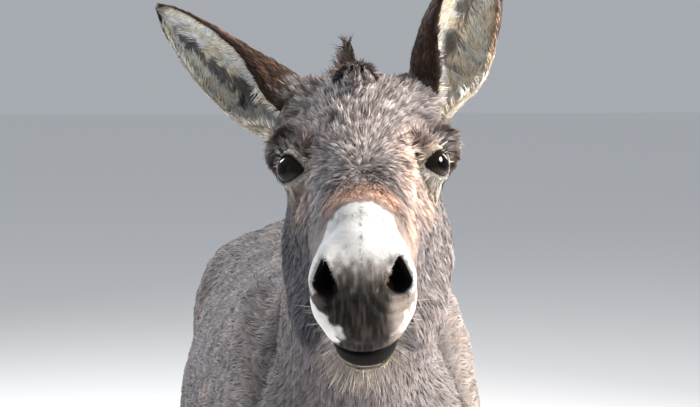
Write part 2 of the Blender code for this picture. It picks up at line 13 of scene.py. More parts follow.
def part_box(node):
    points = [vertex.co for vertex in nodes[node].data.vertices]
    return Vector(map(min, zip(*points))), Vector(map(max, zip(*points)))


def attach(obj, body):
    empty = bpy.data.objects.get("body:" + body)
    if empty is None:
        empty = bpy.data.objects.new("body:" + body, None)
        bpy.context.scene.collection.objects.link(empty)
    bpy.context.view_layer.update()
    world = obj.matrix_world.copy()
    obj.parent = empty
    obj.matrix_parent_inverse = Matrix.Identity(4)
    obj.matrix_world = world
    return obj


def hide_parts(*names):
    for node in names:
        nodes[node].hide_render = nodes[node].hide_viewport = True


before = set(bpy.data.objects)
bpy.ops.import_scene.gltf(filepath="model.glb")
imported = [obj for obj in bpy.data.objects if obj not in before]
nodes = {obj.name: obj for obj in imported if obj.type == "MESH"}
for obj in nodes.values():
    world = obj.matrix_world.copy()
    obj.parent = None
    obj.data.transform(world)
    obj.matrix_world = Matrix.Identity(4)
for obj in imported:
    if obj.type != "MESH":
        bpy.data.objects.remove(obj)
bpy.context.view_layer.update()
print("frame loaded")


# Small tools for meshes and numbers
def pointsOf(mesh):
    co = np.empty(len(mesh.vertices) * 3, np.float32)
    mesh.vertices.foreach_get("co", co)
    return co.reshape(-1, 3).astype(float)


def setPoints(mesh, co):
    mesh.vertices.foreach_set("co", co.astype(np.float32).ravel())
    mesh.update()


def normalsOf(mesh):
    found = np.empty(len(mesh.vertices) * 3, np.float32)
    mesh.vertex_normals.foreach_get("vector", found)
    return found.reshape(-1, 3).astype(float)


def cornersOf(mesh):  # the three vertices of each triangle
    mesh.calc_loop_triangles()
    found = np.empty(len(mesh.loop_triangles) * 3, np.int32)
    mesh.loop_triangles.foreach_get("vertices", found)
    return found.reshape(-1, 3)


def objectOf(mesh, name):
    made = bpy.data.objects.new(name, mesh)
    mesh.name = name
    bpy.context.scene.collection.objects.link(made)
    return made


def meshOf(bm, name):
    mesh = bpy.data.meshes.new(name)
    bm.to_mesh(mesh)
    bm.free()
    return mesh


def applyModifiers(obj):
    bpy.context.view_layer.update()
    graph = bpy.context.evaluated_depsgraph_get()
    made = bpy.data.meshes.new_from_object(obj.evaluated_get(graph))
    obj.modifiers.clear()
    old = obj.data
    obj.data = made
    bpy.data.meshes.remove(old)
    return obj


def mergedCopy(*names):  # the loose triangles of these nodes, joined into one bmesh
    bm = bmesh.new()
    for name in names:
        bm.from_mesh(nodes[name].data)
    bmesh.ops.remove_doubles(bm, verts=bm.verts, dist=1e-5)
    return bm


def smoothHull(bm, name, grain, rounds):  # one closed soft surface round all that the bmesh holds
    hull = objectOf(meshOf(bm, name), name)
    join = hull.modifiers.new("join", "REMESH")
    join.mode = "VOXEL"
    join.voxel_size = grain
    soften = hull.modifiers.new("soften", "SMOOTH")
    soften.factor = 0.5
    soften.iterations = rounds
    return applyModifiers(hull)


def unit(vectors):
    return vectors / (np.linalg.norm(vectors, axis=-1, keepdims=True) + 1e-12)


def rise(x, low, high):  # 0 below low, 1 above high, smooth between
    share = np.clip((x - low) / (high - low), 0, 1)
    return share * share * (3 - 2 * share)


def mix(a, b, share):  # between two numbers, colours or vectors, for each point
    share = np.asarray(share)
    if share.ndim == 1 and 3 in (*np.shape(a)[-1:], *np.shape(b)[-1:]):
        share = share[:, None]
    return a * (1 - share) + b * share


def cloud(points, size, seed=0):  # smooth noise from -1 to 1 with features of this size
    place = points / size + 31.7 * seed + 400
    cell = np.floor(place).astype(np.int64)
    part = place - cell
    part = part * part * (3 - 2 * part)
    total = np.zeros(len(points))
    for corner in range(8):
        step = np.array([(corner >> k) & 1 for k in range(3)])
        key = ((cell + step) * (73856093, 19349663, 83492791)).sum(axis=1) + seed * 7919
        key = (key ^ (key >> 15)) * 2246822519 & 0xFFFFFFFF
        key = (key ^ (key >> 13)) * 3266489917 & 0xFFFFFFFF
        value = (key ^ (key >> 16)) / 2147483647.5 - 1
        total += value * np.prod(np.where(step, part, 1 - part), axis=1)
    return total * 1.4


def swirl(points, size, seed):  # a smooth vector noise
    return np.stack([cloud(points, size, seed + k) for k in range(3)], 1)


def onSurface(way, normals, share=1):  # takes out the part that points away from the surface
    return way - normals * (way * normals).sum(axis=1)[:, None] * share


def relax(mesh, weights, rounds):  # moves each vertex part of the way to its neighbours' middle
    co = pointsOf(mesh)
    ends = np.empty(len(mesh.edges) * 2, np.int32)
    mesh.edges.foreach_get("vertices", ends)
    a, b = ends.reshape(-1, 2).T
    size = len(co)
    count = np.bincount(a, minlength=size) + np.bincount(b, minlength=size) + 1e-9
    for _ in range(rounds):
        for axis in range(3):
            total = np.bincount(a, co[b, axis], size) + np.bincount(b, co[a, axis], size)
            co[:, axis] += (total / count - co[:, axis]) * weights
    setPoints(mesh, co)


# The head's own lines: side from its middle (+ is its left), along from poll to nose, and down
headSet = {
    "down": 13.6, "turned": -5.6, "tilt": -2.2,  # degrees
    "eye": (0.0585, 0.177, 0.0435), "eyeRadius": 0.0205,
    "gaze": (0.76, 0.58, -0.28),
}


def boxMiddle(node):
    low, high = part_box(node)
    return (low + high) / 2


def headPlace():
    turn = Matrix.Rotation(math.radians(headSet["turned"]), 4, "Z")
    turn = turn @ Matrix.Rotation(math.radians(headSet["down"]), 4, "X")
    turn = turn @ Matrix.Rotation(math.radians(headSet["tilt"]), 4, "Y")
    between = (boxMiddle("eye_left") + boxMiddle("eye_right")) / 2
    _, along, down = headSet["eye"]
    return Matrix.Translation(between) @ turn @ Matrix.Translation(Vector((0, along, down)))


headMatrix = headPlace()
headTurn = np.array(headMatrix)[:3, :3]
headStart = np.array(headMatrix)[:3, 3]


def toHead(points):
    return ((points - headStart) @ headTurn) * (1, -1, -1)


def fromHead(own):
    return (np.array(own, float) * (1, -1, -1)) @ headTurn.T + headStart


def turnFromHead(vectors):
    return (np.array(vectors, float) * (1, -1, -1)) @ headTurn.T


# Camera, floor and light
viewSet = {
    "azimuth": -5.0, "down": 5.5, "lens": 84.86, "sensor": 36,
    "back": 1.614, "aside": -0.013, "above": -0.0305,  # from the point between the brows
    "aim": (0, 0.170, 0.050),
}
floorSet = {"size": 60, "colour": (0.92, 0.92, 0.92), "roughness": 0.9}
lightSet = {
    "sky": (0.88, 0.93, 1.0), "skyStrength": 0.44,
    # name: place, target, size, watts, colour
    "lamps": {
        "key": ((3.1, -1.3, 2.9), (0, -0.6, 1.1), 1.4, 375, (1.0, 0.93, 0.85)),
        "fill": ((-2.6, -3.0, 1.9), (0, -0.6, 1.1), 2.4, 8, (0.84, 0.91, 1.0)),
        "rim": ((2.4, 2.0, 2.4), (0, -0.4, 1.1), 1.4, 120, (1.0, 0.93, 0.84)),
        "back": ((-2.4, 2.4, 3.0), (0, 0.2, 1.0), 1.8, 160, (0.93, 0.96, 1.0)),
    },
}


def addCamera():
    turn, pitch = math.radians(viewSet["azimuth"]), math.radians(viewSet["down"])
    right = Vector((math.cos(turn), math.sin(turn), 0))
    ahead = Vector((-math.sin(turn), math.cos(turn), 0)) * math.cos(pitch)
    ahead.z = -math.sin(pitch)
    up = right.cross(ahead)
    aim = Vector(fromHead(viewSet["aim"]))
    place = aim + viewSet["aside"] * right - viewSet["back"] * ahead + viewSet["above"] * up
    data = bpy.data.cameras.new("camera")
    data.lens = viewSet["lens"]
    data.sensor_width = viewSet["sensor"]
    camera = bpy.data.objects.new("camera", data)
    camera.matrix_world = Matrix.Translation(place) @ Matrix((right, up, -ahead)).transposed().to_4x4()
    bpy.context.scene.collection.objects.link(camera)
    bpy.context.scene.camera = camera


def addFloor():
    bm = bmesh.new()
    bmesh.ops.create_grid(bm, x_segments=1, y_segments=1, size=floorSet["size"] / 2)
    floor = objectOf(meshOf(bm, "floor"), "floor")
    plain = bpy.data.materials.new("paleFloor")
    plain.use_nodes = True
    shader = plain.node_tree.nodes["Principled BSDF"]
    shader.inputs["Base Color"].default_value = (*floorSet["colour"], 1)
    shader.inputs["Roughness"].default_value = floorSet["roughness"]
    floor.data.materials.append(plain)


def addLights():
    world = bpy.data.worlds.new("sky")
    world.use_nodes = True
    sky = world.node_tree.nodes["Background"]
    sky.inputs["Color"].default_value = (*lightSet["sky"], 1)
    sky.inputs["Strength"].default_value = lightSet["skyStrength"]
    bpy.context.scene.world = world
    for name, (place, target, size, watts, colour) in lightSet["lamps"].items():
        data = bpy.data.lights.new(name, "AREA")
        data.shape = "DISK"
        data.size = size
        data.energy = watts
        data.color = colour
        lamp = bpy.data.objects.new(name, data)
        turn = (Vector(target) - Vector(place)).to_track_quat("-Z", "Y")
        lamp.matrix_world = Matrix.Translation(place) @ turn.to_matrix().to_4x4()
        bpy.context.scene.collection.objects.link(lamp)
    bpy.context.scene.view_settings.view_transform = "Standard"


addCamera()
addFloor()
addLights()
print("camera, floor and lights placed")


# Shader maths as plain expressions
class Value:  # a shader socket that Python's operators add Math nodes to
    def __init__(self, finish, socket):
        self.finish, self.socket = finish, socket

    def maths(self, operation, first, second):
        return self.finish.add("ShaderNodeMath", {"operation": operation}, {0: first, 1: second})

    def __add__(self, other):
        return self.maths("ADD", self, other)

    def __rsub__(self, other):
        return self.maths("SUBTRACT", other, self)

    def __mul__(self, other):
        return self.maths("MULTIPLY", self, other)

    def __truediv__(self, other):
        return self.maths("DIVIDE", self, other)

    def __pow__(self, other):
        return self.maths("POWER", self, other)

    __radd__ = __add__
    __rmul__ = __mul__


class Finish:  # one material under construction
    def __init__(self, name):
        self.material = bpy.data.materials.new(name)
        self.material.use_nodes = True
        self.tree = self.material.node_tree
        self.shader = self.tree.nodes["Principled BSDF"]

    def add(self, kind, settings=None, sockets=None, out=0):
        node = self.tree.nodes.new(kind)
        for key, setting in (settings or {}).items():
            setattr(node, key, setting)
        for key, value in (sockets or {}).items():
            self.feed(node.inputs[key], value)
        return Value(self, node.outputs[out])

    def feed(self, socket, value):
        if isinstance(value, Value):
            self.tree.links.new(value.socket, socket)
        elif isinstance(value, tuple) and len(value) == 3 and len(socket.default_value) == 4:
            socket.default_value = (*value, 1)
        else:
            socket.default_value = value

    def surface(self, **sockets):
        for key, value in sockets.items():
            self.feed(self.shader.inputs[key.replace("_", " ")], value)
        return self.material

    def attribute(self, name, out="Color"):  # a value that the mesh carries
        return self.add("ShaderNodeAttribute", {"attribute_name": name}, out=out)

    def noise(self, scale, detail, stretch=(1, 1, 1)):
        place = self.add("ShaderNodeTexCoord", out="Object")
        place = self.add("ShaderNodeMapping", None, {"Vector": place, "Scale": stretch})
        return self.add("ShaderNodeTexNoise", None, {"Vector": place, "Scale": scale, "Detail": detail})

    def blend(self, share, first, second):
        settings = {"data_type": "RGBA"}
        return self.add("ShaderNodeMix", settings, {0: share, 6: first, 7: second}, out=2)

    def bump(self, height, distance, strength):
        sockets = {"Height": height, "Distance": distance, "Strength": strength}
        return self.add("ShaderNodeBump", None, sockets)

    def ramp(self, value, low, high):
        settings = {"interpolation_type": "SMOOTHSTEP"}
        return self.add("ShaderNodeMapRange", settings, {0: value, 1: low, 2: high})


# Markings of the skin and the coat, with painted shade and a painted highlight
tints = {
    "grey": (0.235, 0.212, 0.212),
    "dark": (0.050, 0.045, 0.050),
    "warm": (0.360, 0.300, 0.268),
    "rust": (0.780, 0.510, 0.395),
    "shadeSlate": (0.080, 0.077, 0.092),
    "cream": (0.600, 0.535, 0.430),
    "white": (0.760, 0.755, 0.745),
    "nose": (0.012, 0.011, 0.011),
    "smoke": (0.095, 0.078, 0.066),
    "lip": (0.004, 0.004, 0.004),
    "brown": (0.070, 0.040, 0.029),
    "black": (0.006, 0.005, 0.005),
    "stripe": (0.045, 0.034, 0.032),
    "belly": (0.480, 0.435, 0.395),
    "mane": (0.085, 0.066, 0.056),
    "fringe": (0.800, 0.730, 0.640),
}
tints = {name: np.array(tint) for name, tint in tints.items()}

# Soft spots on the head: the middle and the reach of each, as side, along and down
spots = {
    "brow": ((-0.006, 0.130, 0.0), (0.026, 0.085, 0.040)),
    "bridge": ((0.0, 0.235, 0.0), (0.012, 0.05, 0.03)),
    "leftBrow": ((0.050, 0.105, 0.0), (0.034, 0.075, 0.040)),
    "leftOfNose": ((0.050, 0.345, 0.036), (0.017, 0.065, 0.022)),
    "belowEye": ((0.062, 0.225, 0.062), (0.018, 0.032, 0.016)),
    "aboveEye": ((0.060, 0.176, 0.008), (0.013, 0.024, 0.012)),
    "innerLeft": ((0.040, 0.235, 0.028), (0.014, 0.055, 0.022)),
    "innerRight": ((-0.047, 0.200, 0.030), (0.010, 0.022, 0.012)),
    "tearMark": ((0.066, 0.205, 0.058), (0.014, 0.020, 0.012)),
    "aboveBlaze": ((0, 0.275, 0.0), (0.014, 0.016, 0.03)),
    "behindEye": ((0.090, 0.152, 0.052), (0.017, 0.026, 0.030)),
    "lidCrease": ((0.070, 0.140, 0.0225), (0.016, 0.014, 0.0055)),
}
# The white blaze, and the dark nose below it: faint between the nostrils, full and wide under them,
# narrower again down to the mouth
blazeSet = {"half": 0.0375, "start": 0.383, "round": 0.022}
noseSet = {
    # down, half width
    "outline": [
        (0.022, 0.014), (0.028, 0.022), (0.052, 0.025), (0.058, 0.052), (0.066, 0.048),
        (0.072, 0.029), (0.080, 0.0205), (0.088, 0.0195), (0.105, 0.0280),
    ],
    # down, share of the dark tint
    "strength": [(0.020, 0.30), (0.030, 0.60), (0.046, 0.92), (0.056, 1.0)],
}
# Nostril: upper and lower end as (side, along, down, radius), and how deep it goes
nostrilSet = {
    "top": (0.0303, 0.470, 0.0290, 0.0022), "bottom": (0.0300, 0.474, 0.0465, 0.0102),
    "depth": 0.024, "rim": 0.0016,
}
mouthSet = {
    "down": 0.1090, "rise": 0.0070, "corner": 0.0450,  # the corners stand higher than the middle
    "lip": 0.0172, "from": 0.400, "half": 0.0024, "depth": 0.0085,
    "lipBehind": 0.0040, "lipFull": 0.0014,
}
lidSet = {
    "outward": 0.0030,  # from where the eye stands in the solids
    "inner": 0.80, "outer": 0.74, "upper": 0.68, "lower": 0.60,  # radians from the gaze
    "corner": 0.26,  # how much further the inner corner reaches
    "margin": 0.075,  # the dark bare edge
    "open": {1: 0.87, -1: 1.0},  # the left lids are a little closer
    "reach": 0.045,  # how far from the eye the lids are marked
    "thick": 0.0026, "clear": 0.0009, "tuck": 0.0045,  # over the eyeball, at the edge, and behind it
}


def spot(own, name):  # 1 in the middle of the spot, fading over its reach
    centre, reach = spots[name]
    return np.exp(-(((own - centre) / reach) ** 2).sum(axis=1))


def fromTable(x, rows):
    return np.interp(x, *np.array(rows).T)


def onHead(points, own):
    return (points[:, 1] < -0.33) & (points[:, 2] > 1.0) & (own[:, 1] > -0.06)


def eyeLines():  # gaze, towards the inner corner, and up, in side, along and down
    gaze = unit(np.array(headSet["gaze"]))
    inner = np.array((-0.64, 0.73, -0.23))
    inner = unit(inner - gaze * (inner @ gaze))
    up = np.cross(inner, gaze)
    return gaze, inner, up if up[2] < 0 else -up


def eyeCentre(sign):
    side, along, down = headSet["eye"]
    return np.array((sign * (side + lidSet["outward"]), along, down))


def aboveEye(own, sign):
    return ((own - eyeCentre(sign)) * (sign, 1, 1)) @ eyeLines()[2]


def lidDistance(own, sign):  # radians outside the edge of the lids, less than 0 inside it
    gaze, inner, up = eyeLines()
    away = (own - eyeCentre(sign)) * (sign, 1, 1)
    far = np.linalg.norm(away, axis=1)
    ahead, across, above = away @ gaze, away @ inner, away @ up
    turn = np.arctan2(np.hypot(across, above), ahead)
    angle = np.arctan2(above, across)
    wide = np.where(np.cos(angle) > 0, lidSet["inner"], lidSet["outer"])
    high = np.where(np.sin(angle) > 0, lidSet["upper"], lidSet["lower"])
    edge = ((np.cos(angle) / wide) ** 2 + (np.sin(angle) / high) ** 2) ** -0.5
    edge += lidSet["corner"] * np.exp(-(angle / 0.38) ** 2)
    return turn - edge * lidSet["open"][sign], far


def mouthLines(side):  # how far down the mouth's line and the lower lip's edge run
    reach = np.clip(np.abs(side) / mouthSet["corner"], 0, 1.3)
    line = mouthSet["down"] - mouthSet["rise"] * reach ** 2
    return line, line + mouthSet["lip"] * np.clip(1 - reach ** 3, 0, 1)


def nostrilDistance(own, sign):  # metres outside the nostril's edge, in the plane of its opening
    flat = own[:, (0, 2)] * (sign, 1)
    top, bottom = (np.array(nostrilSet[end]) for end in ("top", "bottom"))
    line = (bottom - top)[[0, 2]]
    share = np.clip(((flat - top[[0, 2]]) @ line) / (line @ line), 0, 1)
    near = top[[0, 2]] + share[:, None] * line
    return np.linalg.norm(flat - near, axis=1) - mix(top[3], bottom[3], share ** 0.8)


def shoulderFold(points, reach):  # 1 in the crease before the shoulder, fading over the reach
    x, y, z = points.T
    behind = y + 0.169 + 0.386 * np.maximum(0.986 - z, 0)
    beside = rise(np.abs(x), 0.04, 0.07)
    return np.exp(-(behind / reach) ** 2) * rise(z, 0.76, 0.88) * rise(1.10 - z, 0, 0.08) * beside


def markingsAndShade(points, normals):
    own = toHead(points)
    head = onHead(points, own)
    face = head * rise(own[:, 1], -0.06, 0.05)
    x, y, z = points.T
    mottle = cloud(points, 0.020, 1) + 0.6 * cloud(points, 0.009, 2)
    smudge = cloud(points * (1.6, 0.7, 1), 0.030, 4) + 0.5 * cloud(points, 0.055, 14)
    tint = np.tile(tints["grey"], (len(points), 1))
    tint = mix(tint, tints["warm"], 0.40 * rise(cloud(points, 0.09, 3), -0.4, 0.9))
    tint = mix(tint, tints["dark"], 0.42 * rise(mottle, 0.25, 1.1) * mix(0.3, 1, face))
    tint = mix(tint, tints["dark"], 0.34 * rise(smudge, 0.0, 1.2) * (1 - face))
    # belly and inner legs are pale
    belly = rise(-normals[:, 2], 0.35, 0.85) * rise(z, 0.50, 0.56) * ~head
    belly = belly * rise(0.80 - z, 0, 0.1) * (y < 0.68)
    inside = rise(-normals[:, 0] * np.sign(x), 0.3, 0.9) * rise(0.75 - z, 0, 0.12) * rise(z, 0.10, 0.3)
    tint = mix(tint, tints["belly"], np.clip(0.8 * belly + 0.6 * inside * (np.abs(x) > 0.02), 0, 0.85))
    # one dark line runs down the back, another down each shoulder, which is the shoulder stripe with painted
    # shadow of the crease before the shoulder, and behind it a paler band that is a painted highlight on the
    # fold
    middle = mix(0, headStart[0] * 0.9, rise(-y, -0.05, 0.45))
    back = np.exp(-((x - middle) / 0.016) ** 2) * rise(normals[:, 2], 0.3, 0.7) * ~head * rise(z, 0.8, 0.9)
    tint = mix(tint, tints["stripe"], 0.85 * back)
    # painted highlight: a paler band on the fold behind the shoulder crease
    tint = mix(tint, tints["warm"], 0.40 * shoulderFold(points - (0, 0.05, 0), 0.024) * ~head)
    # the shoulder stripe together with painted shadow in the crease before the shoulder
    cross = shoulderFold(points, 0.022) * (0.90 + 0.2 * cloud(points, 0.05, 5)) * ~head
    tint = mix(tint, tints["stripe"] * 0.7, np.clip(cross, 0, 0.96))
    # darker feet, and painted shade on the throat under the head, deeper on the animal's right side
    tint = mix(tint, tints["dark"], 0.45 * rise(0.16 - z, 0, 0.09))
    throatShade = rise(-y, 0.22, 0.34) * rise(z, 0.80, 0.90) * mix(1, 0.35, rise(x, -0.03, 0.05))
    tint = mix(tint, tints["shadeSlate"], 0.55 * throatShade * (1 - face))
    return mix(tint, headMarkingsAndShade(points, own, tint), face)


def headMarkingsAndShade(points, own, tint):
    ragged = cloud(points, 0.006, 7) * 0.004
    tint = browAndCheeks(points, own, tint)
    tint = whiteMuzzle(points, own, ragged, tint)
    tint = darkNose(own, ragged, tint)
    return eyeRings(own, lipAndChin(own, tint))


def browAndCheeks(points, own, tint):  # grey, with tan round the eyes and above the white
    side, along, down = own.T
    mirrored = own * (np.sign(side)[:, None] * (1, 0, 0) + (0, 1, 1))
    light = spot(own, "brow") + 0.5 * spot(own, "bridge")
    tint = mix(tint, tints["warm"] * (1.25, 1.28, 1.34), 0.80 * np.clip(light, 0, 1))
    tint = tint * (1 - 0.38 * spot(own, "leftBrow"))[:, None]
    # painted shade: the animal's right cheek, on the side away from the key light, is darkened towards slate
    shaded = rise(-side, 0.022, 0.052) * rise(down, 0.040, 0.080) * rise(0.43 - along, 0, 0.04)
    tint = mix(tint, tints["shadeSlate"], np.clip(shaded * (0.80 + 0.2 * rise(down, 0.10, 0.14)), 0, 0.95))
    band = np.exp(-((along - 0.356) / 0.024) ** 2)
    band = band * rise(0.042 - np.abs(side), 0, 0.014) * rise(0.03 - down, 0, 0.02)
    below = spot(mirrored, "belowEye") * mix(0.45, 0.60, side > 0)
    above = spot(mirrored, "aboveEye") * mix(0.55, 0.75, side > 0)
    inner = spot(own, "innerLeft") * 0.48 + spot(own, "innerRight") * 0.5
    tan = 0.95 * band + 0.85 * spot(own, "leftOfNose") + below + above + inner
    tint = mix(tint, tints["rust"], np.clip(tan * (0.85 + 0.4 * cloud(points, 0.008, 8)), 0, 0.90))
    tint = mix(tint, tints["cream"], 0.6 * spot(mirrored, "tearMark"))
    return mix(tint, tints["dark"], spot(own, "aboveBlaze") * 0.35)


def whiteMuzzle(points, own, ragged, tint):
    side, along, down = own.T
    half = blazeSet["half"] * np.clip((along + ragged - blazeSet["start"]) / blazeSet["round"], 0, 1) ** 0.4
    blaze = rise(half - np.abs(side) + ragged, -0.002, 0.003) * rise(0.045 - down, 0, 0.01)
    sides = rise(along + ragged * 2 - 0.405 - 0.35 * np.clip(down - 0.03, 0, 0.1), -0.006, 0.010)
    pale = np.maximum(blaze * (along > 0.38), sides * rise(0.108 - down, -0.004, 0.004))
    tint = mix(tint, tints["white"], pale)
    middle = np.exp(-(side / 0.0014) ** 2) * pale * rise(along, 0.37, 0.40)  # a thin line of grey hairs
    return mix(tint, tints["smoke"], 0.75 * middle * rise(cloud(points, 0.002, 6), -0.5, 0.5))


def darkNose(own, ragged, tint):
    side, along, down = own.T
    left = rise(side, 0.012, 0.03)
    wide = fromTable(down, noseSet["outline"]) + 0.011 * rise(side, 0, 0.02) * rise(down, 0.060, 0.070)
    nose = rise(wide - np.abs(side) + ragged * 1.4, -0.003, 0.006)
    nose = nose * rise(down + 1.5 * ragged - 0.0225, -0.006, 0.020) * (along > 0.43)
    streak = cloud(own * (1, 0.15, 0.15), 0.0016, 9)
    strength = fromTable(down, noseSet["strength"])
    strength = strength * mix(1, 0.78, rise(-side, 0.028, 0.038) * rise(0.074 - down, 0, 0.01))
    strength = strength * mix(1, 0.48, rise(side, 0.018, 0.028) * rise(down, 0.046, 0.056))
    tint = mix(tint, tints["warm"] * 0.9, np.clip(nose * (1 + 0.35 * streak), 0, 1))
    dark = 0.12 + 0.45 * streak + 0.5 * rise(0.045 - down, 0, 0.02) + 0.5 * left * rise(down, 0.05, 0.07)
    dark = mix(tints["nose"], tints["smoke"] * mix(1, 2.6, left)[:, None], np.clip(dark, 0, 0.9))
    tint = mix(tint, dark, np.clip(nose * strength * (1 + 0.25 * streak * (down < 0.05)), 0, 1))
    for sign in (1, -1):
        gap = nostrilDistance(own, sign)
        rim = rise(0.0040 - gap, 0, 0.002) * rise(0.050 - down, 0, 0.01)
        tint = mix(tint, tints["smoke"] * 3, 0.4 * rim * (along > 0.44))
        tint = mix(tint, tints["nose"], rise(0.0014 - gap, 0, 0.0014) * (along > 0.44))
    return tint


def lipAndChin(own, tint):  # a pale fringe grows under the dark lower lip
    side, along, down = own.T
    line, edge = mouthLines(side)
    chin = rise(down - edge, -0.002, 0.002) * rise(along, 0.30, 0.43)
    tint = mix(tint, tints["fringe"], chin * mix(0.90, 0.10, rise(down - edge, 0.009, 0.022)))
    # painted shadow: the fringe darkens further below the lower lip, under the head
    tint = mix(tint, tints["dark"] * 1.6, 0.6 * chin * rise(down - edge, 0.014, 0.026))
    lip = rise(down - line, -0.0020, 0.0) * rise(edge - down, -0.0010, 0.0010) * rise(along, 0.380, 0.400)
    return mix(tint, tints["lip"], lip)


def eyeRings(own, tint):
    for sign in (1, -1):
        gap, far = lidDistance(own, sign)
        near = far < lidSet["reach"]
        mirrored = own * (sign, 1, 1)
        ring = rise(0.46 - gap, 0, 0.16) * near
        # dark brown hair with painted shade in the hollow behind each eye, and painted shade in the crease
        # over the lid
        shade = 1.2 * spot(mirrored, "behindEye") + 1.2 * spot(mirrored, "lidCrease")
        tint = mix(tint, tints["brown"] * 0.40, np.clip(shade, 0, 0.95) * (1 - ring))
        under = rise(-aboveEye(own, sign), 0.0, 0.008)
        pink = mix(tints["cream"], tints["rust"], 0.55 * rise(gap, 0.14, 0.34) * (1 - under))
        tint = mix(tint, mix(pink, tints["cream"] * (0.85, 0.93, 1.05), under), 0.92 * ring)
        tint = mix(tint, tints["black"], rise(lidSet["margin"] - gap, 0, 0.02) * near)
    return tint


def plainness(own):  # 1 on the muzzle and lid edges, where the fur is too short to part into locks
    nose = 0.6 * rise(own[:, 1], 0.30, 0.34)
    return mix(nose, 1, rise(own[:, 1], 0.355, 0.395)) * rise(0.135 - own[:, 2], 0, 0.02)


# The coat's depth from its tips down to the skin, and the way the hair runs on each part of the body
depthSet = {
    "body": 0.0085, "leg": 0.0045, "fold": 0.009,
    "brow": 0.0085, "nose": 0.0038, "muzzle": 0.0018, "cheek": 0.0065,
}
lieSet = {
    "back": (0, 1.0, -0.30), "rump": (0, 0.70, -0.85), "neck": (0, 0.62, -0.80),
    "breast": (0, 0.10, -1.0), "leg": (0, 0.05, -1.0), "tail": (0, 0.1, -1.0),
    "whorl": 0.287,  # how far along the head the brow's hair parts
}


def coatDepth(points, own):
    head = onHead(points, own)
    _, along, down = own.T
    body = mix(depthSet["body"], depthSet["leg"], rise(0.62 - points[:, 2], 0, 0.25))
    face = mix(depthSet["brow"], depthSet["nose"], rise(along, 0.16, 0.32))
    face = mix(face, depthSet["muzzle"], rise(along, 0.40, 0.45))
    face = mix(face, depthSet["cheek"], rise(down, 0.06, 0.12) * rise(0.40 - along, 0, 0.1))
    body = body + depthSet["fold"] * shoulderFold(points, 0.017)
    return mix(body, face, head * rise(along, -0.05, 0.05))


def bodyLie(points):
    x, y, z = points.T
    shares = {
        "rump": rise(y, 0.25, 0.60),
        "neck": rise(-y, 0.16, 0.30) * rise(z, 0.72, 0.86),
        "breast": rise(-y, 0.20, 0.30) * rise(0.90 - z, 0, 0.1),
        "leg": rise(0.66 - z, 0, 0.14),
        "tail": (y > 0.68) & (np.abs(x) < 0.05),
    }
    way = np.zeros_like(points) + lieSet["back"]
    for part, share in shares.items():
        way = mix(way, lieSet[part], share)
    return way


def headLie(own):  # away from the whorl on the brow, down the nose, and down and back over the cheeks
    side, along, down = own.T
    whorl = own - (0, lieSet["whorl"], 0.0)
    whorl[:, 0] *= 1.5
    cheek = np.stack([0.15 * np.sign(side), -0.25 + 0 * side, np.ones(len(side))], 1)
    muzzle = np.stack([1.2 * side / 0.04, 0.6 + 0 * side, 0.25 + 2.0 * (down - 0.05) / 0.05], 1)
    chin = np.stack([side / 0.030, 0.8 + 0 * side, np.ones(len(side))], 1)
    _, edge = mouthLines(side)
    flow = mix(cheek, unit(whorl * (1, 1, 0.6)), rise(0.055 - down, 0, 0.05))
    flow = mix(flow, unit(muzzle), rise(along, 0.44, 0.47))
    flow = mix(flow, unit(chin), rise(down - edge, -0.003, 0.001) * rise(along, 0.25, 0.35))
    for sign in (1, -1):  # round the eyes the hair runs away from the lids
        away = own - eyeCentre(sign)
        far = np.linalg.norm(away, axis=1)
        flow = mix(flow, unit(away), 0.75 * rise(lidSet["reach"] - far, 0, 0.018))
    return turnFromHead(unit(flow))


def lieOf(points, normals, own):  # the way the hair runs, along the skin
    head = onHead(points, own)
    way = mix(bodyLie(points), headLie(own), head * rise(own[:, 1], -0.02, 0.06))
    way = unit(way) + mix(0.18, 0.30, head)[:, None] * swirl(points, 0.035, 20)
    return unit(onSurface(way, normals))


# The skin: all the flesh in one surface, sunk under the coat and modelled round eyes, nose and mouth
fleshNodes = ["head", "neck", "trunk", "tail"]
fleshNodes += [f"{leg}_leg_{side}" for leg in ("fore", "hind") for side in ("left", "right")]
skinSet = {
    "grain": 0.004, "grow": 0.0012, "bodyTriangles": 66000,
    "coronet": 0.070, "intoHoof": 0.006,
}
# How near to each feature the surface is made finer, first and then once more
fineSet = {
    "eye": (0.040, 0.034), "nostril": (0.030, 0.022), "lips": (0.020, 0.013),
    "nostrilAt": (0.030, 0.470, 0.040), "lipsFrom": 0.385, "lipsDown": 0.111, "muzzleFrom": 0.42,
}
foldSet = {
    "ridge": 0.0022, "crease": 0.0030,  # over the eyes
    "ripple": 0.0006, "rippleWidth": 0.0042,  # behind the nostrils
    "slimBeside": 0.0030, "slimAbove": 0.0040,  # the muzzle
}


def joinedFlesh():
    bm = mergedCopy(*fleshNodes, "eye_left", "eye_right")
    bm.normal_update()
    for vert in bm.verts:
        vert.co += vert.normal * skinSet["grow"]
    return smoothHull(bm, "skin", skinSet["grain"], 14)


def thinBody(skin):
    co = pointsOf(skin.data)
    body = ~onHead(co, toHead(co))
    group = skin.vertex_groups.new(name="body")
    group.add([int(i) for i in np.nonzero(body)[0]], 1.0, "REPLACE")
    faces = cornersOf(skin.data)
    inside = body[faces].all(axis=1).sum()
    step = skin.modifiers.new("thin", "DECIMATE")
    step.vertex_group = "body"
    step.vertex_group_factor = 1.0
    step.ratio = (len(faces) - inside + skinSet["bodyTriangles"]) / len(faces)
    applyModifiers(skin)
    skin.vertex_groups.clear()


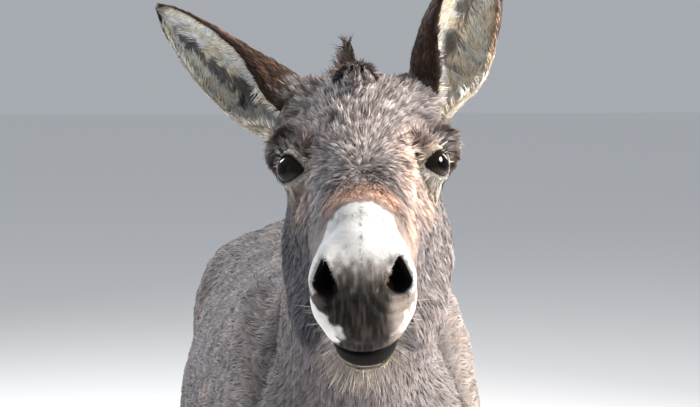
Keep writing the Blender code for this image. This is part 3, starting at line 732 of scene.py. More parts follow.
def featureReach(own, level):  # where the face needs a finer surface
    close = np.zeros(len(own), bool)
    for sign in (1, -1):
        _, far = lidDistance(own, sign)
        nostril = own - np.array(fineSet["nostrilAt"]) * (sign, 1, 1)
        close |= far < fineSet["eye"][level]
        close |= np.linalg.norm(nostril, axis=1) < fineSet["nostril"][level]
    fromLips = np.abs(own[:, 2] - fineSet["lipsDown"])
    close |= (own[:, 1] > fineSet["lipsFrom"]) & (fromLips < fineSet["lips"][level])
    return close | ((own[:, 1] > fineSet["muzzleFrom"]) & (level == 0))


def refine(skin, level):
    co = pointsOf(skin.data)
    own = toHead(co)
    chosen = featureReach(own, level) & onHead(co, own)
    bm = bmesh.new()
    bm.from_mesh(skin.data)
    bm.verts.ensure_lookup_table()
    edges = [e for e in bm.edges if chosen[e.verts[0].index] and chosen[e.verts[1].index]]
    bmesh.ops.subdivide_edges(bm, edges=edges, cuts=1, use_grid_fill=True)
    bmesh.ops.triangulate(bm, faces=[f for f in bm.faces if len(f.verts) > 4])
    bm.to_mesh(skin.data)
    bm.free()
    co = pointsOf(skin.data)
    own = toHead(co)
    relax(skin.data, 0.5 * (featureReach(own, level) & onHead(co, own)), 4)


def sinkSkin(skin):
    co = pointsOf(skin.data)
    depth = coatDepth(co, toHead(co)) + skinSet["grow"]
    move = normalsOf(skin.data) * depth[:, None]
    low = co[:, 2] < skinSet["coronet"]
    move[low, 2] = 0
    co -= move
    co[low, 2] -= skinSet["intoHoof"]
    setPoints(skin.data, co)
    relax(skin.data, 0.4 * (co[:, 2] > skinSet["coronet"]), 3)


def carveNostrils(own):
    push = np.zeros_like(own)
    for sign in (1, -1):
        gap = nostrilDistance(own, sign)
        front = (own[:, 1] > 0.44) & (own[:, 0] * sign > 0)
        deep = rise(-gap, -0.0012, 0.0050) * front
        inward = unit(np.array((-0.25 * sign, -1.0, 0.12)))
        push += deep[:, None] * inward * nostrilSet["depth"]
        rim = np.exp(-((gap - 0.0022) / 0.0022) ** 2) * front
        push += rim[:, None] * np.array((0.35 * sign, 0.8, -0.1)) * nostrilSet["rim"]
    return push


def carveMouth(own):
    side, along, down = own.T
    line, edge = mouthLines(side)
    inward = own - np.array((0, 0.400, mouthSet["down"]))
    inward[:, 2] = 0
    inward = unit(inward)
    cut = np.exp(-((down - line) / mouthSet["half"]) ** 2) * rise(along, mouthSet["from"], 0.425)
    push = -inward * (cut * mouthSet["depth"])[:, None]
    # the lower lip sits behind the upper one, which is full above the line
    behind = rise(down - line, -0.001, 0.004) * rise(edge + 0.012 - down, 0, 0.014)
    behind = behind * rise(along, 0.400, 0.440)
    push -= inward * (behind * mouthSet["lipBehind"])[:, None]
    full = np.exp(-((down - line + 0.0070) / 0.0048) ** 2) * rise(along, 0.410, 0.440)
    push += inward * (full * mouthSet["lipFull"])[:, None]
    return push


def slimMuzzle(own):  # narrower beside the nostrils, most of all above them
    front = rise(own[:, 1], 0.37, 0.43) * rise(0.085 - own[:, 2], 0, 0.03)
    above = rise(own[:, 1], 0.38, 0.42) * rise(0.044 - own[:, 2], 0, 0.022)
    share = np.clip(own[:, 0] / 0.045, -1, 1)
    across = np.sign(share) * np.abs(share) ** 1.5
    narrower = foldSet["slimBeside"] * front + foldSet["slimAbove"] * above
    return np.stack([-across * narrower, 0 * across, 0 * across], 1)


def carveFolds(own):  # creases over the eyes and wrinkles behind the nostrils
    push = np.zeros_like(own)
    for sign in (1, -1):
        gap, far = lidDistance(own, sign)
        above = rise(aboveEye(own, sign), 0.0, 0.012) * rise(0.046 - far, 0, 0.012)
        crease = np.exp(-((gap - 0.50) / 0.07) ** 2) * above
        ridge = np.exp(-((gap - 0.68) / 0.08) ** 2) * above
        push += unit(own - eyeCentre(sign)) * (foldSet["ridge"] * ridge - foldSet["crease"] * crease)[:, None]
        back = nostrilDistance(own, sign)
        ripple = np.sin(back / foldSet["rippleWidth"] * math.pi) * np.exp(-((back - 0.012) / 0.007) ** 2)
        ripple *= (own[:, 1] > 0.42) & (own[:, 2] > 0.045)
        push += unit(own - (0, 0.42, 0.07)) * (ripple * foldSet["ripple"])[:, None]
    return push


def openLids(skin):
    co = pointsOf(skin.data)
    own = toHead(co)
    eyeball = headSet["eyeRadius"]
    for sign in (1, -1):
        gap, far = lidDistance(own, sign)
        edge = mix(eyeball - lidSet["tuck"], eyeball + lidSet["clear"], np.clip((gap + 0.10) / 0.12, 0, 1))
        edge = mix(edge, eyeball + lidSet["thick"], rise(gap, 0.01, 0.09))
        outside = np.maximum(far, eyeball + lidSet["thick"])
        wanted = mix(edge, outside, rise(gap, 0.10, 0.55))
        moved = eyeCentre(sign) + unit(own - eyeCentre(sign)) * wanted[:, None]
        near = (far < 0.040) & onHead(co, own)
        own[near] = moved[near]
    head = onHead(co, own)
    co[head] = fromHead(own)[head]
    setPoints(skin.data, co)


def sculptFace(skin):
    co = pointsOf(skin.data)
    own = toHead(co)
    head = onHead(co, own)[:, None]
    own = own + slimMuzzle(own) * head
    own = own + (carveMouth(own) + carveNostrils(own) + carveFolds(own)) * head
    setPoints(skin.data, np.where(head, fromHead(own), co))


def makeSkin():
    skin = joinedFlesh()
    thinBody(skin)
    refine(skin, 0)
    sinkSkin(skin)
    refine(skin, 1)
    sculptFace(skin)
    openLids(skin)
    bm = bmesh.new()
    bm.from_mesh(skin.data)
    bmesh.ops.triangulate(bm, faces=bm.faces)
    bm.to_mesh(skin.data)
    bm.free()
    skin.data.shade_smooth()
    return skin


skin = makeSkin()
print("skin made,", len(skin.data.polygons), "triangles")


def paint(mesh, name, colours):
    layer = mesh.color_attributes.new(name, "FLOAT_COLOR", "POINT")
    full = np.ones((len(colours), 4), np.float32)
    full[:, :3] = colours
    layer.data.foreach_set("color", full.ravel())


# Patterns per metre, and the shadow between the hairs
finishSet = {
    "shadow": (0.02, 0.016, 0.015),
    "underHair": 520, "underPatches": 70, "pores": 1100, "poreDepth": 0.0012,
    "hairStreaks": 900, "hairScales": 1400, "scaleDepth": 0.0003,
}


def skinFinish(name):
    look = Finish(name)
    marked = look.attribute("markingsAndShade")
    smooth = look.attribute("smoothness", "Fac")
    fine = look.noise(finishSet["underHair"], 4, (1, 0.3, 0.45))
    broad = look.noise(finishSet["underPatches"], 3)
    pores = look.noise(finishSet["pores"], 2)
    shade = look.ramp(fine * 0.6 + broad * 0.4, 0.30, 0.70)
    shade = shade + (1 - shade) * smooth * 0.85
    colour = look.blend(shade, look.blend(0.45, marked, finishSet["shadow"]), marked)
    return look.surface(
        Base_Color=colour, Roughness=0.55 + 0.3 * fine, Specular_IOR_Level=0.07,
        Normal=look.bump(fine * 0.5 + pores * 0.5, finishSet["poreDepth"], 0.5),
    )


def dressSkin():
    co = pointsOf(skin.data)
    own = toHead(co)
    smooth = plainness(own) * onHead(co, own)
    # painted shade: the skin under the coat takes the coat's tint darkened, more on the head than on the
    # body, barely on the smooth muzzle
    share = mix(mix(0.80, 0.60, onHead(co, own)), 0.95, smooth)
    paint(skin.data, "markingsAndShade", markingsAndShade(co, normalsOf(skin.data)) * share[:, None])
    layer = skin.data.attributes.new("smoothness", "FLOAT", "POINT")
    layer.data.foreach_set("value", smooth.astype(np.float32))
    skin.data.materials.append(skinFinish("coatSkin"))
    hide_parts(*fleshNodes)
    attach(skin, "root")


dressSkin()

# Eyes
eyeSet = {
    "cornea": 0.62, "bulge": 0.0024,  # half its width in radians, and how far it stands out
    "iris": 0.66, "pupil": (0.40, 0.20),  # as shares of the radius: across, up
    "darkIris": (0.003, 0.002, 0.0015), "lightIris": (0.016, 0.008, 0.005),
    "rimTint": (0.006, 0.0045, 0.004), "pupilTint": (0.0006, 0.0006, 0.001),
}


def eyeFinish():
    look = Finish("eyeGlass")
    place = look.attribute("gazePlace", "Vector")
    split = look.add("ShaderNodeSeparateXYZ", None, {0: place})
    across, up = split, Value(look, split.socket.node.outputs[1])
    reach = (across * across + up * up) ** 0.5
    oblong = ((across / eyeSet["pupil"][0]) ** 2 + (up / eyeSet["pupil"][1]) ** 2) ** 0.5
    fibres = look.add("ShaderNodeTexNoise", None, {"Vector": place, "Scale": 14, "Detail": 4})
    brown = look.blend(fibres, eyeSet["darkIris"], eyeSet["lightIris"])
    iris = look.ramp(reach, eyeSet["iris"] - 0.05, eyeSet["iris"] + 0.03)
    colour = look.blend(iris, brown, eyeSet["rimTint"])
    colour = look.blend(look.ramp(oblong, 0.92, 1.08), eyeSet["pupilTint"], colour)
    veins = look.ramp(fibres, 0.45, 0.75)
    return look.surface(
        Base_Color=colour, Roughness=0.35 + 0.1 * veins, Specular_IOR_Level=0.0,
        Coat_Weight=0.7, Coat_Roughness=0.015, Coat_IOR=1.34,
    )


def makeEye(side, sign, finish):
    gaze, inner, up = (turnFromHead(line * (sign, 1, 1)) for line in eyeLines())
    bm = bmesh.new()
    bmesh.ops.create_uvsphere(bm, u_segments=56, v_segments=40, radius=1)
    axes = np.stack([inner, up, gaze], 1)
    own = np.array([vert.co for vert in bm.verts])
    turn = np.arccos(np.clip(own[:, 2], -1, 1))
    cornea = 1 - rise(turn, eyeSet["cornea"] * 0.55, eyeSet["cornea"] * 1.25)
    reach = 1 + eyeSet["bulge"] / headSet["eyeRadius"] * cornea
    world = (own * reach[:, None] * headSet["eyeRadius"]) @ axes.T + fromHead(eyeCentre(sign))
    for vert, place in zip(bm.verts, world):
        vert.co = place
    bmesh.ops.recalc_face_normals(bm, faces=bm.faces)
    eye = objectOf(meshOf(bm, f"eyeball.{side}"), f"eyeball.{side}")
    layer = eye.data.attributes.new("gazePlace", "FLOAT_VECTOR", "POINT")
    layer.data.foreach_set("vector", own.astype(np.float32).ravel())
    eye.data.shade_smooth()
    eye.data.materials.append(finish)
    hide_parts(f"eye_{side}")
    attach(eye, "root")


glass = eyeFinish()
for eyeSide, eyeSign in (("left", 1), ("right", -1)):
    makeEye(eyeSide, eyeSign, glass)
print("eyes made")

# Hooves
hoofSet = {
    "rings": 0.0055, "ringWander": 0.006, "wornUpTo": 0.012,
    "colour": (0.075, 0.066, 0.060), "pale": (0.20, 0.175, 0.15),
}


def hoofFinish():
    look = Finish("hoofHorn")
    place = look.add("ShaderNodeTexCoord", out="Object")
    height = Value(look, look.add("ShaderNodeSeparateXYZ", None, {0: place}).socket.node.outputs[2])
    wander = look.noise(30, 2)
    waves = (height + wander * hoofSet["ringWander"]) * (2 * math.pi / hoofSet["rings"])
    rings = look.add("ShaderNodeMath", {"operation": "SINE"}, {0: waves})
    grain = look.noise(160, 3, (1, 1, 0.12))
    wear = look.ramp(height + wander * 0.012, hoofSet["wornUpTo"], 0.0)
    colour = look.blend(grain, hoofSet["colour"], tuple(c * 0.55 for c in hoofSet["colour"]))
    colour = look.blend(wear * 0.6, colour, hoofSet["pale"])
    return look.surface(
        Base_Color=colour, Roughness=0.42 + 0.25 * grain,
        Normal=look.bump(rings * 0.5 + grain, 0.0010, 0.7),
    )


def makeHoof(name, finish):
    bm = mergedCopy(name)
    bmesh.ops.dissolve_limit(bm, angle_limit=math.radians(2), verts=bm.verts, edges=bm.edges)
    crease = bm.edges.layers.float.new("crease_edge")
    for edge in bm.edges:
        if edge.calc_face_angle(0) > math.radians(55):
            edge[crease] = 0.85
    hoof = objectOf(meshOf(bm, "horn_" + name), "horn_" + name)
    rounding = hoof.modifiers.new("round", "SUBSURF")
    rounding.levels = rounding.render_levels = 2
    applyModifiers(hoof)
    hoof.data.shade_smooth()
    hoof.data.materials.append(finish)
    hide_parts(name)
    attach(hoof, "root")


horn = hoofFinish()
for hoofName in [name for name in nodes if "hoof" in name]:
    makeHoof(hoofName, horn)
print("hooves made")

# Ears: thin cupped shells
earSet = {
    "length": 0.225, "base": (0.071, 0.032, 0.029), "rows": 44, "across": 30,
    "under": 0.0022,  # how far the shell lies under the coat
    "wall": 0.0022,
    # for each ear: breadth, depth and foot as shares, then how far it starts out along its axis and bows,
    # which way its lower rim lies, how far up that rim is pale, and where its dark inner stripe runs
    "right": {
        "axis": (-0.69, 0.47, 0.49), "opening": (-0.60, -0.72, -0.22),
        "wide": 1.0, "deep": 0.74, "foot": 0.95, "out": 0.007, "bow": -0.007,
        "lower": -1, "paleUpTo": 0.85, "stripe": -0.34,
    },
    "left": {
        "axis": (0.40, 0.14, 0.90), "opening": (0.50, -0.85, 0.0),
        "wide": 1.18, "deep": 1.0, "foot": 0.68, "out": 0.0, "bow": 0.0,
        "lower": 1, "paleUpTo": 0.50, "stripe": 0.25,
    },
    # share of the length, radius, half angle of the wall in degrees
    "shape": [
        (0.00, 0.0370, 160), (0.12, 0.0405, 146), (0.26, 0.0415, 122), (0.42, 0.0410, 100),
        (0.60, 0.0380, 86), (0.76, 0.0310, 78), (0.88, 0.0215, 72), (0.96, 0.0120, 68), (1.00, 0.0055, 64),
    ],
}


def earFrame(side):
    sign = 1 if side == "left" else -1
    axis = unit(np.array(earSet[side]["axis"]))
    opening = np.array(earSet[side]["opening"], float)
    opening = unit(opening - axis * (axis @ opening))
    base = fromHead(np.array(earSet["base"]) * (sign, 1, 1)) + axis * earSet[side]["out"]
    return axis, opening, np.cross(axis, opening), base


def earShape(share, side):  # both radii, half angle of the wall, and the centre's shift across and forwards
    rows, own = np.array(earSet["shape"]), earSet[side]
    radius = np.interp(share, rows[:, 0], rows[:, 1]) * mix(own["foot"], 1, rise(share, 0, 0.28))
    half = np.radians(np.interp(share, rows[:, 0], rows[:, 2]))
    wide = radius * mix(1, own["wide"], rise(share, 0.15, 0.45))
    deep = radius * mix(1, own["deep"], rise(share, 0.10, 0.40))
    return wide, deep, half, own["bow"] * 4 * share * (1 - share), 0.5 * (radius - rows[0, 1])


def earPlace(points, side):  # share of the length, angle from the ear's back, and half angle of the wall
    axis, opening, across, base = earFrame(side)
    away = points - base
    share = np.clip(away @ axis / earSet["length"], 0, 1)
    wide, deep, half, bow, lean = earShape(share, side)
    return share, np.arctan2((away @ across - bow) / wide, -(away @ opening - lean) / deep), half


def makeEar(side):
    axis, opening, across, base = earFrame(side)
    bm = bmesh.new()
    bmesh.ops.create_grid(bm, x_segments=earSet["across"], y_segments=earSet["rows"], size=1)
    for vert in bm.verts:
        share = (vert.co.y + 1) / 2
        wide, deep, half, bow, lean = earShape(share, side)
        turn = vert.co.x * (half - 0.03)
        curl = 1 - 0.10 * abs(vert.co.x) ** 6
        place = base + axis * (earSet["length"] * (0.97 * share - 0.02)) + opening * lean + across * bow
        place = place + across * ((wide - earSet["under"]) * curl * math.sin(turn))
        vert.co = place - opening * ((deep - earSet["under"]) * curl * math.cos(turn))
    bm.normal_update()  # the wall grows along the normals of the bent grid
    bmesh.ops.solidify(bm, geom=bm.faces[:], thickness=earSet["wall"])
    bmesh.ops.recalc_face_normals(bm, faces=bm.faces)
    bmesh.ops.triangulate(bm, faces=bm.faces)
    ear = objectOf(meshOf(bm, f"ear.{side}"), f"ear.{side}")
    ear.data.shade_smooth()
    return ear


def earInside(points, normals, side):
    _, opening, across, _ = earFrame(side)
    _, turn, _ = earPlace(points, side)
    outward = across * np.sin(turn)[:, None] - opening * np.cos(turn)[:, None]
    return (outward * normals).sum(axis=1) < 0.1


def earMarkings(points, normals, side):
    own = earSet[side]
    share, turn, half = earPlace(points, side)
    edge = np.abs(turn) / half
    patch = cloud(points, 0.012, 31) + 0.5 * cloud(points, 0.005, 32)
    tip = rise(share + 0.03 * patch, 0.86, 0.93)
    outer = mix(tints["grey"] * 0.9, tints["brown"], rise(share + 0.08 * patch, -0.06, 0.10))
    worn = 0.55 * rise(share, 0.30, 0.55) * rise(patch, -0.8, 0.8)
    outer = mix(outer, tints["warm"] * (1.0, 0.75, 0.62), worn)
    outer = mix(outer, tints["brown"] * 0.6, rise(edge, 0.80, 0.92) * 0.9)
    lower = rise(turn / half * own["lower"] + 0.08 * patch, 0.38, 0.70)
    outer = mix(outer, tints["cream"] * 1.2, 0.88 * lower * rise(own["paleUpTo"] - share, 0, 0.2))
    outer = mix(outer, tints["black"], tip)
    inner = mix(tints["cream"] * (1.52, 1.50, 1.46), tints["white"] * 1.2, rise(patch, -0.6, 0.6))
    stripe = rise(0.17 - np.abs(turn / half - own["stripe"]) + 0.10 * patch, -0.06, 0.12)
    stripe = stripe * rise(share, 0.16, 0.26) * rise(0.88 - share, 0, 0.12)
    inner = mix(inner, tints["stripe"] * 1.2, 0.85 * stripe * rise(patch, -1.2, 0.1))
    inner = mix(inner, tints["brown"] * 0.8, rise(edge, 0.93, 0.99) * rise(share, 0.10, 0.2))
    if side == "left":  # a tan outer rim
        tan = mix(tints["warm"] * (1.2, 0.90, 0.68), tints["brown"], rise(patch, 0.0, 1.0))
        inner = mix(inner, tan, 0.75 * rise(turn / half, 0.66, 0.84) * rise(share, 0.25, 0.40))
    inner = mix(inner, tints["black"], tip * rise(edge, 0.3, 0.6))
    inner = mix(inner, tints["brown"], 0.6 * rise(share, 0.84, 0.94))
    return mix(outer, inner, earInside(points, normals, side))


def earLie(points, normals, side):  # along the ear outside, and inwards from its rims inside
    axis, opening, across, _ = earFrame(side)
    _, turn, half = earPlace(points, side)
    fromRim = np.sign(turn) * 0.9 * rise(np.abs(turn) / half, 0.1, 0.5)
    outer = np.tile(axis, (len(points), 1))
    inner = outer * 0.55 + opening * 0.10 - across * fromRim[:, None]
    way = mix(outer, inner, earInside(points, normals, side)) + 0.25 * swirl(points, 0.014, 40)
    return unit(onSurface(way, normals))


ears = {side: makeEar(side) for side in ("left", "right")}
earLook = skinFinish("earSkin")
for earSide, ear in ears.items():
    # painted shade: the ear's skin under its hair is painted darker than the hair
    paint(ear.data, "markingsAndShade", earMarkings(pointsOf(ear.data), normalsOf(ear.data), earSide) * 0.7)
    ear.data.materials.append(earLook)
    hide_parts(f"ear_{earSide}")
    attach(ear, "root")
print("ears made")


# The coat
def unwrapOf(points, faces):  # places of the faces' corners on a flat unwrap of these faces
    mesh = bpy.data.meshes.new("flat")
    mesh.from_pydata(points, [], faces)
    flat = objectOf(mesh, "flat")
    bpy.context.view_layer.objects.active = flat
    flat.select_set(True)
    bpy.ops.object.mode_set(mode="EDIT")
    bpy.ops.mesh.select_all(action="SELECT")
    bpy.ops.uv.smart_project(angle_limit=math.radians(72), island_margin=0.003)
    bpy.ops.object.mode_set(mode="OBJECT")
    found = np.empty(len(mesh.loops) * 2, np.float32)
    mesh.uv_layers.active.uv.foreach_get("vector", found)
    bpy.data.objects.remove(flat)
    bpy.data.meshes.remove(mesh)
    return found.reshape(-1, 3, 2)


def steadyOrder(faces):  # each triangle from its lowest corner, then sorted: the same in every run
    first = faces.argmin(axis=1)[:, None]
    faces = np.take_along_axis(faces, (first + (0, 1, 2)) % 3, axis=1)
    return faces[np.lexsort(faces.T[::-1])]


def sourceOf(obj, steady=False):  # what a coat grows from
    points, faces = pointsOf(obj.data), cornersOf(obj.data)
    if steady:
        faces = steadyOrder(faces)
    return {
        "points": points, "normals": normalsOf(obj.data), "faces": faces,
        "middle": points[faces].mean(axis=1), "all": np.ones(len(faces), bool),
    }


def rootsOn(source, chosen, thickness, count, chance):  # evenly spread places on the chosen faces
    faces = source["faces"][chosen]
    corners = source["points"][faces]
    area = np.linalg.norm(np.cross(corners[:, 1] - corners[:, 0], corners[:, 2] - corners[:, 0]), axis=1)
    weight = np.cumsum(area * thickness(corners.mean(axis=1)))
    pick = (np.arange(count) + chance.random(count)) / count * weight[-1]
    at = np.minimum(np.searchsorted(weight, pick), len(faces) - 1)
    a, b = np.sqrt(chance.random(count)), chance.random(count)
    share = np.stack([1 - a, a * (1 - b), a * b], 1)[:, :, None]
    used, order = np.unique(faces, return_inverse=True)
    flat = unwrapOf(source["points"][used], order.reshape(-1, 3))
    return (
        (corners[at] * share).sum(axis=1),
        unit((source["normals"][faces[at]] * share).sum(axis=1)),
        (flat[at] * share).sum(axis=1),
    )


def gather(places, tips, share, size, chance):  # tips draw together towards the tip of their lock
    leaders = chance.choice(len(places), max(1, int(len(places) / size)), replace=False)
    tree = KDTree(len(leaders))
    for number, place in enumerate(places[leaders]):
        tree.insert(place, number)
    tree.balance()
    lock = np.array([tree.find(place)[1] for place in places])
    lead = leaders[lock]
    return mix(tips, tips[lead], share), lock


def blades(name, roots, tips, bend, across, width, colours, flat, contrast, steps):
    # Each tuft is a thin blade of a few triangles: pairs of points up its length and one at its tip.
    count = len(roots)
    rows = []
    for step in range(steps):
        t = step / steps
        centre = (1 - t) ** 2 * roots + 2 * t * (1 - t) * bend + t * t * tips
        half = across * (width * (0.5 - 0.30 * t ** 2))[:, None]
        rows += [centre - half, centre + half]
    rows.append(tips)
    points = np.stack(rows, 1)
    tall = 2 * steps + 1
    pattern = []
    for step in range(steps - 1):
        k = 2 * step
        pattern += [(k, k + 1, k + 3), (k, k + 3, k + 2)]
    pattern.append((tall - 3, tall - 2, tall - 1))
    pattern = np.array(pattern)
    faces = (np.arange(count) * tall)[:, None, None] + pattern[None]
    mesh = bpy.data.meshes.new(name)
    mesh.from_pydata(points.reshape(-1, 3), [], faces.reshape(-1, 3))
    up = np.repeat(np.arange(steps + 1) / steps, 2)[:tall]
    ramp = np.interp(up, (0, 0.5, 1), (-0.70, -0.08, 0.40))
    ramp = 1 + contrast[:, None] * ramp[None]
    paint(mesh, "markingsAndShade", np.clip(colours[:, None] * ramp[:, :, None], 0, 0.95).reshape(-1, 3))
    corner = np.stack([np.tile((-0.5, 0.5), steps + 1)[:tall], up - 0.5], 1)
    corner[-1, 0] = 0
    patch = flat[:, None] + 0.003 * corner[None]
    layer = mesh.uv_layers.new(name="OFBake")
    layer.uv.foreach_set("vector", patch[:, pattern].reshape(-1).astype(np.float32))
    mesh.shade_smooth()
    return objectOf(mesh, name)


def coatFinish():
    look = Finish("coatHair")
    marked = look.attribute("markingsAndShade")
    fine = look.noise(finishSet["hairStreaks"], 2)
    scales = look.noise(finishSet["hairScales"], 1)
    colour = look.blend(look.ramp(fine, 0.25, 0.75), look.blend(0.14, marked, finishSet["shadow"]), marked)
    return look.surface(
        Base_Color=colour, Roughness=0.55 + 0.2 * fine, Specular_IOR_Level=0.14,
        Normal=look.bump(scales, finishSet["scaleDepth"], 0.3),
    )


# Length of the hair from root to tip
hairSet = {
    "body": 0.018, "leg": 0.012, "cannon": 0.009, "coronet": 0.014,
    "brow": 0.021, "nose": 0.0095, "cheek": 0.0115, "aboveWhite": 0.0060, "muzzle": 0.0034,
    "jaw": 0.0170, "chin": 0.0105, "lids": 0.0034,
    "earInside": (0.0110, 0.0085), "earOutside": 0.0075,
    "lift": [(0.004, 0.07), (0.010, 0.16), (0.016, 0.28)],  # longer hair stands out more
    "flat": 0.34, "cheekFlat": 0.60,  # share of that lift on the body and on the cheeks
}
# How the tufts of every coat differ from each other
tuftSet = {
    "length": (0.70, 1.25), "lean": 0.16, "rise": 0.10, "riseDrift": 0.16,
    "gather": (0.25, 0.80),  # how far tips draw together in a lock
    "bend": (0.16, 0.08),  # bow of a free and of a plain tuft, as a share of its length
    "twist": 0.35, "breadth": (0.085, 0.00055),  # a share of the length, and metres
    "rooted": 0.0010,  # how far the roots lie under the surface
    "lockTone": 0.46, "tuftTone": 0.28, "driftTone": 0.30,
}


def hairLength(points, own):
    side, along, down = own.T
    z = points[:, 2]
    body = mix(hairSet["body"], hairSet["leg"], rise(0.66 - z, 0, 0.2))
    body = mix(body, hairSet["cannon"], rise(0.36 - z, 0, 0.1))
    body = mix(body, hairSet["coronet"], rise(0.10 - z, 0, 0.02))
    front = mix(hairSet["brow"], hairSet["nose"], rise(along, 0.16, 0.30))
    face = mix(hairSet["cheek"], front, rise(0.05 - down, 0, 0.04))
    face = mix(face, hairSet["aboveWhite"], rise(along, 0.33, 0.40))
    face = mix(face, hairSet["muzzle"], rise(along, 0.40, 0.44))
    face = mix(face, hairSet["jaw"], rise(down, 0.10, 0.16) * rise(0.40 - along, 0, 0.1))
    _, edge = mouthLines(side)
    face = mix(face, hairSet["chin"], rise(down - edge, -0.001, 0.010) * rise(along, 0.30, 0.42))
    for sign in (1, -1):
        gap, far = lidDistance(own, sign)
        face = mix(face, hairSet["lids"], rise(0.78 - gap, 0, 0.40) * (far < lidSet["reach"]))
    return mix(body, face, onHead(points, own) * rise(along, -0.04, 0.04))


def hairThickness(points):  # how close the tufts grow; bare on lips, nostrils and lid edges
    own = toHead(points)
    side, along, down = own.T
    head = onHead(points, own)
    line, edge = mouthLines(side)
    bare = rise(down - line, -0.003, -0.001) * rise(edge - down, -0.0005, 0.001) * (along > 0.39)
    for sign in (1, -1):
        bare = np.maximum(bare, rise(0.0012 - nostrilDistance(own, sign), 0, 0.002) * (along > 0.43))
        gap, far = lidDistance(own, sign)
        bare = np.maximum(bare, rise(lidSet["margin"] + 0.01 - gap, 0, 0.02) * (far < lidSet["reach"]))
    fringe = rise(down - edge, -0.001, 0.004) * rise(along, 0.34, 0.42)
    return (1 + 1.5 * head * fringe) * (1 - head * bare)


def evenThickness(points):
    return np.ones(len(points))


def hairPlan(lie, tint, **values):  # a single number serves every root
    size = len(lie)
    values = {name: np.broadcast_to(value, size) for name, value in values.items()}
    return {"lie": lie, "tint": np.broadcast_to(tint, (size, 3)), **values}


def bodyHair(roots, normals):
    own = toHead(roots)
    head = onHead(roots, own)
    plain = plainness(own) * head
    length = hairLength(roots, own)
    face = mix(1, hairSet["cheekFlat"], rise(own[:, 2], 0.035, 0.075))
    rough = mix(hairSet["flat"], face, head)
    lift = fromTable(length, hairSet["lift"]) * rough
    return hairPlan(
        lieOf(roots, normals, own), markingsAndShade(roots, normals),
        length=length, lift=lift, plain=np.where(length > 0.014, 0.3 * plain, plain), vary=rough,
    )


def earHair(side):
    def plan(roots, normals):
        inside = earInside(roots, normals, side)
        share, _, _ = earPlace(roots, side)
        length = np.where(inside, mix(*hairSet["earInside"], rise(share, 0.05, 0.35)), hairSet["earOutside"])
        lift = np.where(inside, mix(0.50, 0.35, rise(share, 0.2, 0.5)), 0.12)
        return hairPlan(
            earLie(roots, normals, side), earMarkings(roots, normals, side), lift=lift,
            length=length * mix(1, 0.7, rise(share, 0.8, 1)), plain=np.where(inside, 0.65, 0.3), vary=1.0,
        )
    return plan


# thickness says how close the tufts grow, lock how many share a tip, and fine how broad they are
def growCoat(
    name, source, chosen, count, seed, plan, thickness=evenThickness, lock=16, fine=1.0, steps=2,
):
    chance = np.random.default_rng(seed)
    roots, normals, flat = rootsOn(source, chosen, thickness, count, chance)
    hair = plan(roots, normals)
    plain, vary = hair["plain"], hair["vary"]
    length = hair["length"] * chance.uniform(*tuftSet["length"], count)
    lean = chance.normal(0, tuftSet["lean"], (count, 3)) * ((1 - 0.5 * plain) * np.sqrt(vary))[:, None]
    way = unit(hair["lie"] + lean)
    wave = tuftSet["rise"] * chance.standard_normal(count) + tuftSet["riseDrift"] * cloud(roots, 0.012, 50)
    rising = np.clip(hair["lift"] + wave * (1 - 0.8 * plain) * vary, 0.02, 1.0)
    way = unit(onSurface(way, normals) + normals * rising[:, None])
    tips = roots + way * length[:, None]
    together = chance.uniform(*tuftSet["gather"], count) * (1 - 0.7 * plain)
    tips, lockOf = gather(roots + normals * 0.02, tips, together, lock, chance)
    lockTone = chance.normal(0, 1, lockOf.max() + 1)[lockOf]
    roots = roots - normals * tuftSet["rooted"]
    bend = roots + (tips - roots) * 0.45 + normals * (length * mix(*tuftSet["bend"], plain))[:, None]
    twist = chance.normal(0, tuftSet["twist"], count) * (1 - 0.8 * plain)
    across = unit(np.cross(way, normals) + normals * twist[:, None])
    width = (length * tuftSet["breadth"][0] + tuftSet["breadth"][1]) * fine
    drift = cloud(roots, 0.008, 51) * tuftSet["driftTone"]
    tone = tuftSet["lockTone"] * np.clip(lockTone, -1.7, 1.5)
    tone = tone + tuftSet["tuftTone"] * chance.standard_normal(count) + drift
    tint = hair["tint"] * np.exp(tone * (1 - 0.85 * plain) * vary)[:, None]
    tint = tint * (1 + 0.05 * chance.standard_normal((count, 1)) * np.array((1, 0, -1)))  # warmer or cooler
    contrast = (1 - 0.85 * plain) * np.sqrt(vary)
    coat = blades(name, roots, tips, bend, across, width, tint, flat, contrast, steps)
    coat.data.materials.append(coatLook)
    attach(coat, "root")


def coatParts(source):  # which faces each piece of the coat grows from, and how many tufts it has
    own = toHead(source["middle"])
    head = onHead(source["middle"], own)
    along, down, left = own[:, 1], own[:, 2], own[:, 0] > 0
    x, y, z = source["middle"].T
    tail = (y > 0.70) & (np.abs(x) < 0.045)
    leg = (z < 0.60) & ~tail
    neck = ~head & ~leg & (y < -0.20)
    trunk = ~head & ~leg & ~neck & ~tail
    upper = head & (along <= 0.27)
    brow, cheek = upper & (down < 0.045), upper & (down >= 0.045)
    return {  # faces, tufts, breadth of a tuft
        "coatMuzzle": (head & (along > 0.40), 38000, 0.7),
        "coatNose": (head & (along > 0.27) & (along <= 0.40), 52000, 0.55),
        "coatBrowLeft": (brow & left, 44000, 0.44),
        "coatBrowRight": (brow & ~left, 44000, 0.44),
        "coatCheekLeft": (cheek & left, 40000, 0.6),
        "coatCheekRight": (cheek & ~left, 40000, 0.6),
        "coatNeck": (neck, 44000, 0.9),
        "coatTrunkLeft": (trunk & (x > 0), 40000, 1.0),
        "coatTrunkRight": (trunk & (x <= 0), 40000, 1.0),
        "coatForeLegs": (leg & (y < 0.1), 20000, 1.2),
        "coatHindLegs": (leg & (y >= 0.1), 22000, 1.2),
        "coatTail": (tail, 4000, 1.0),
    }


coatLook = coatFinish()


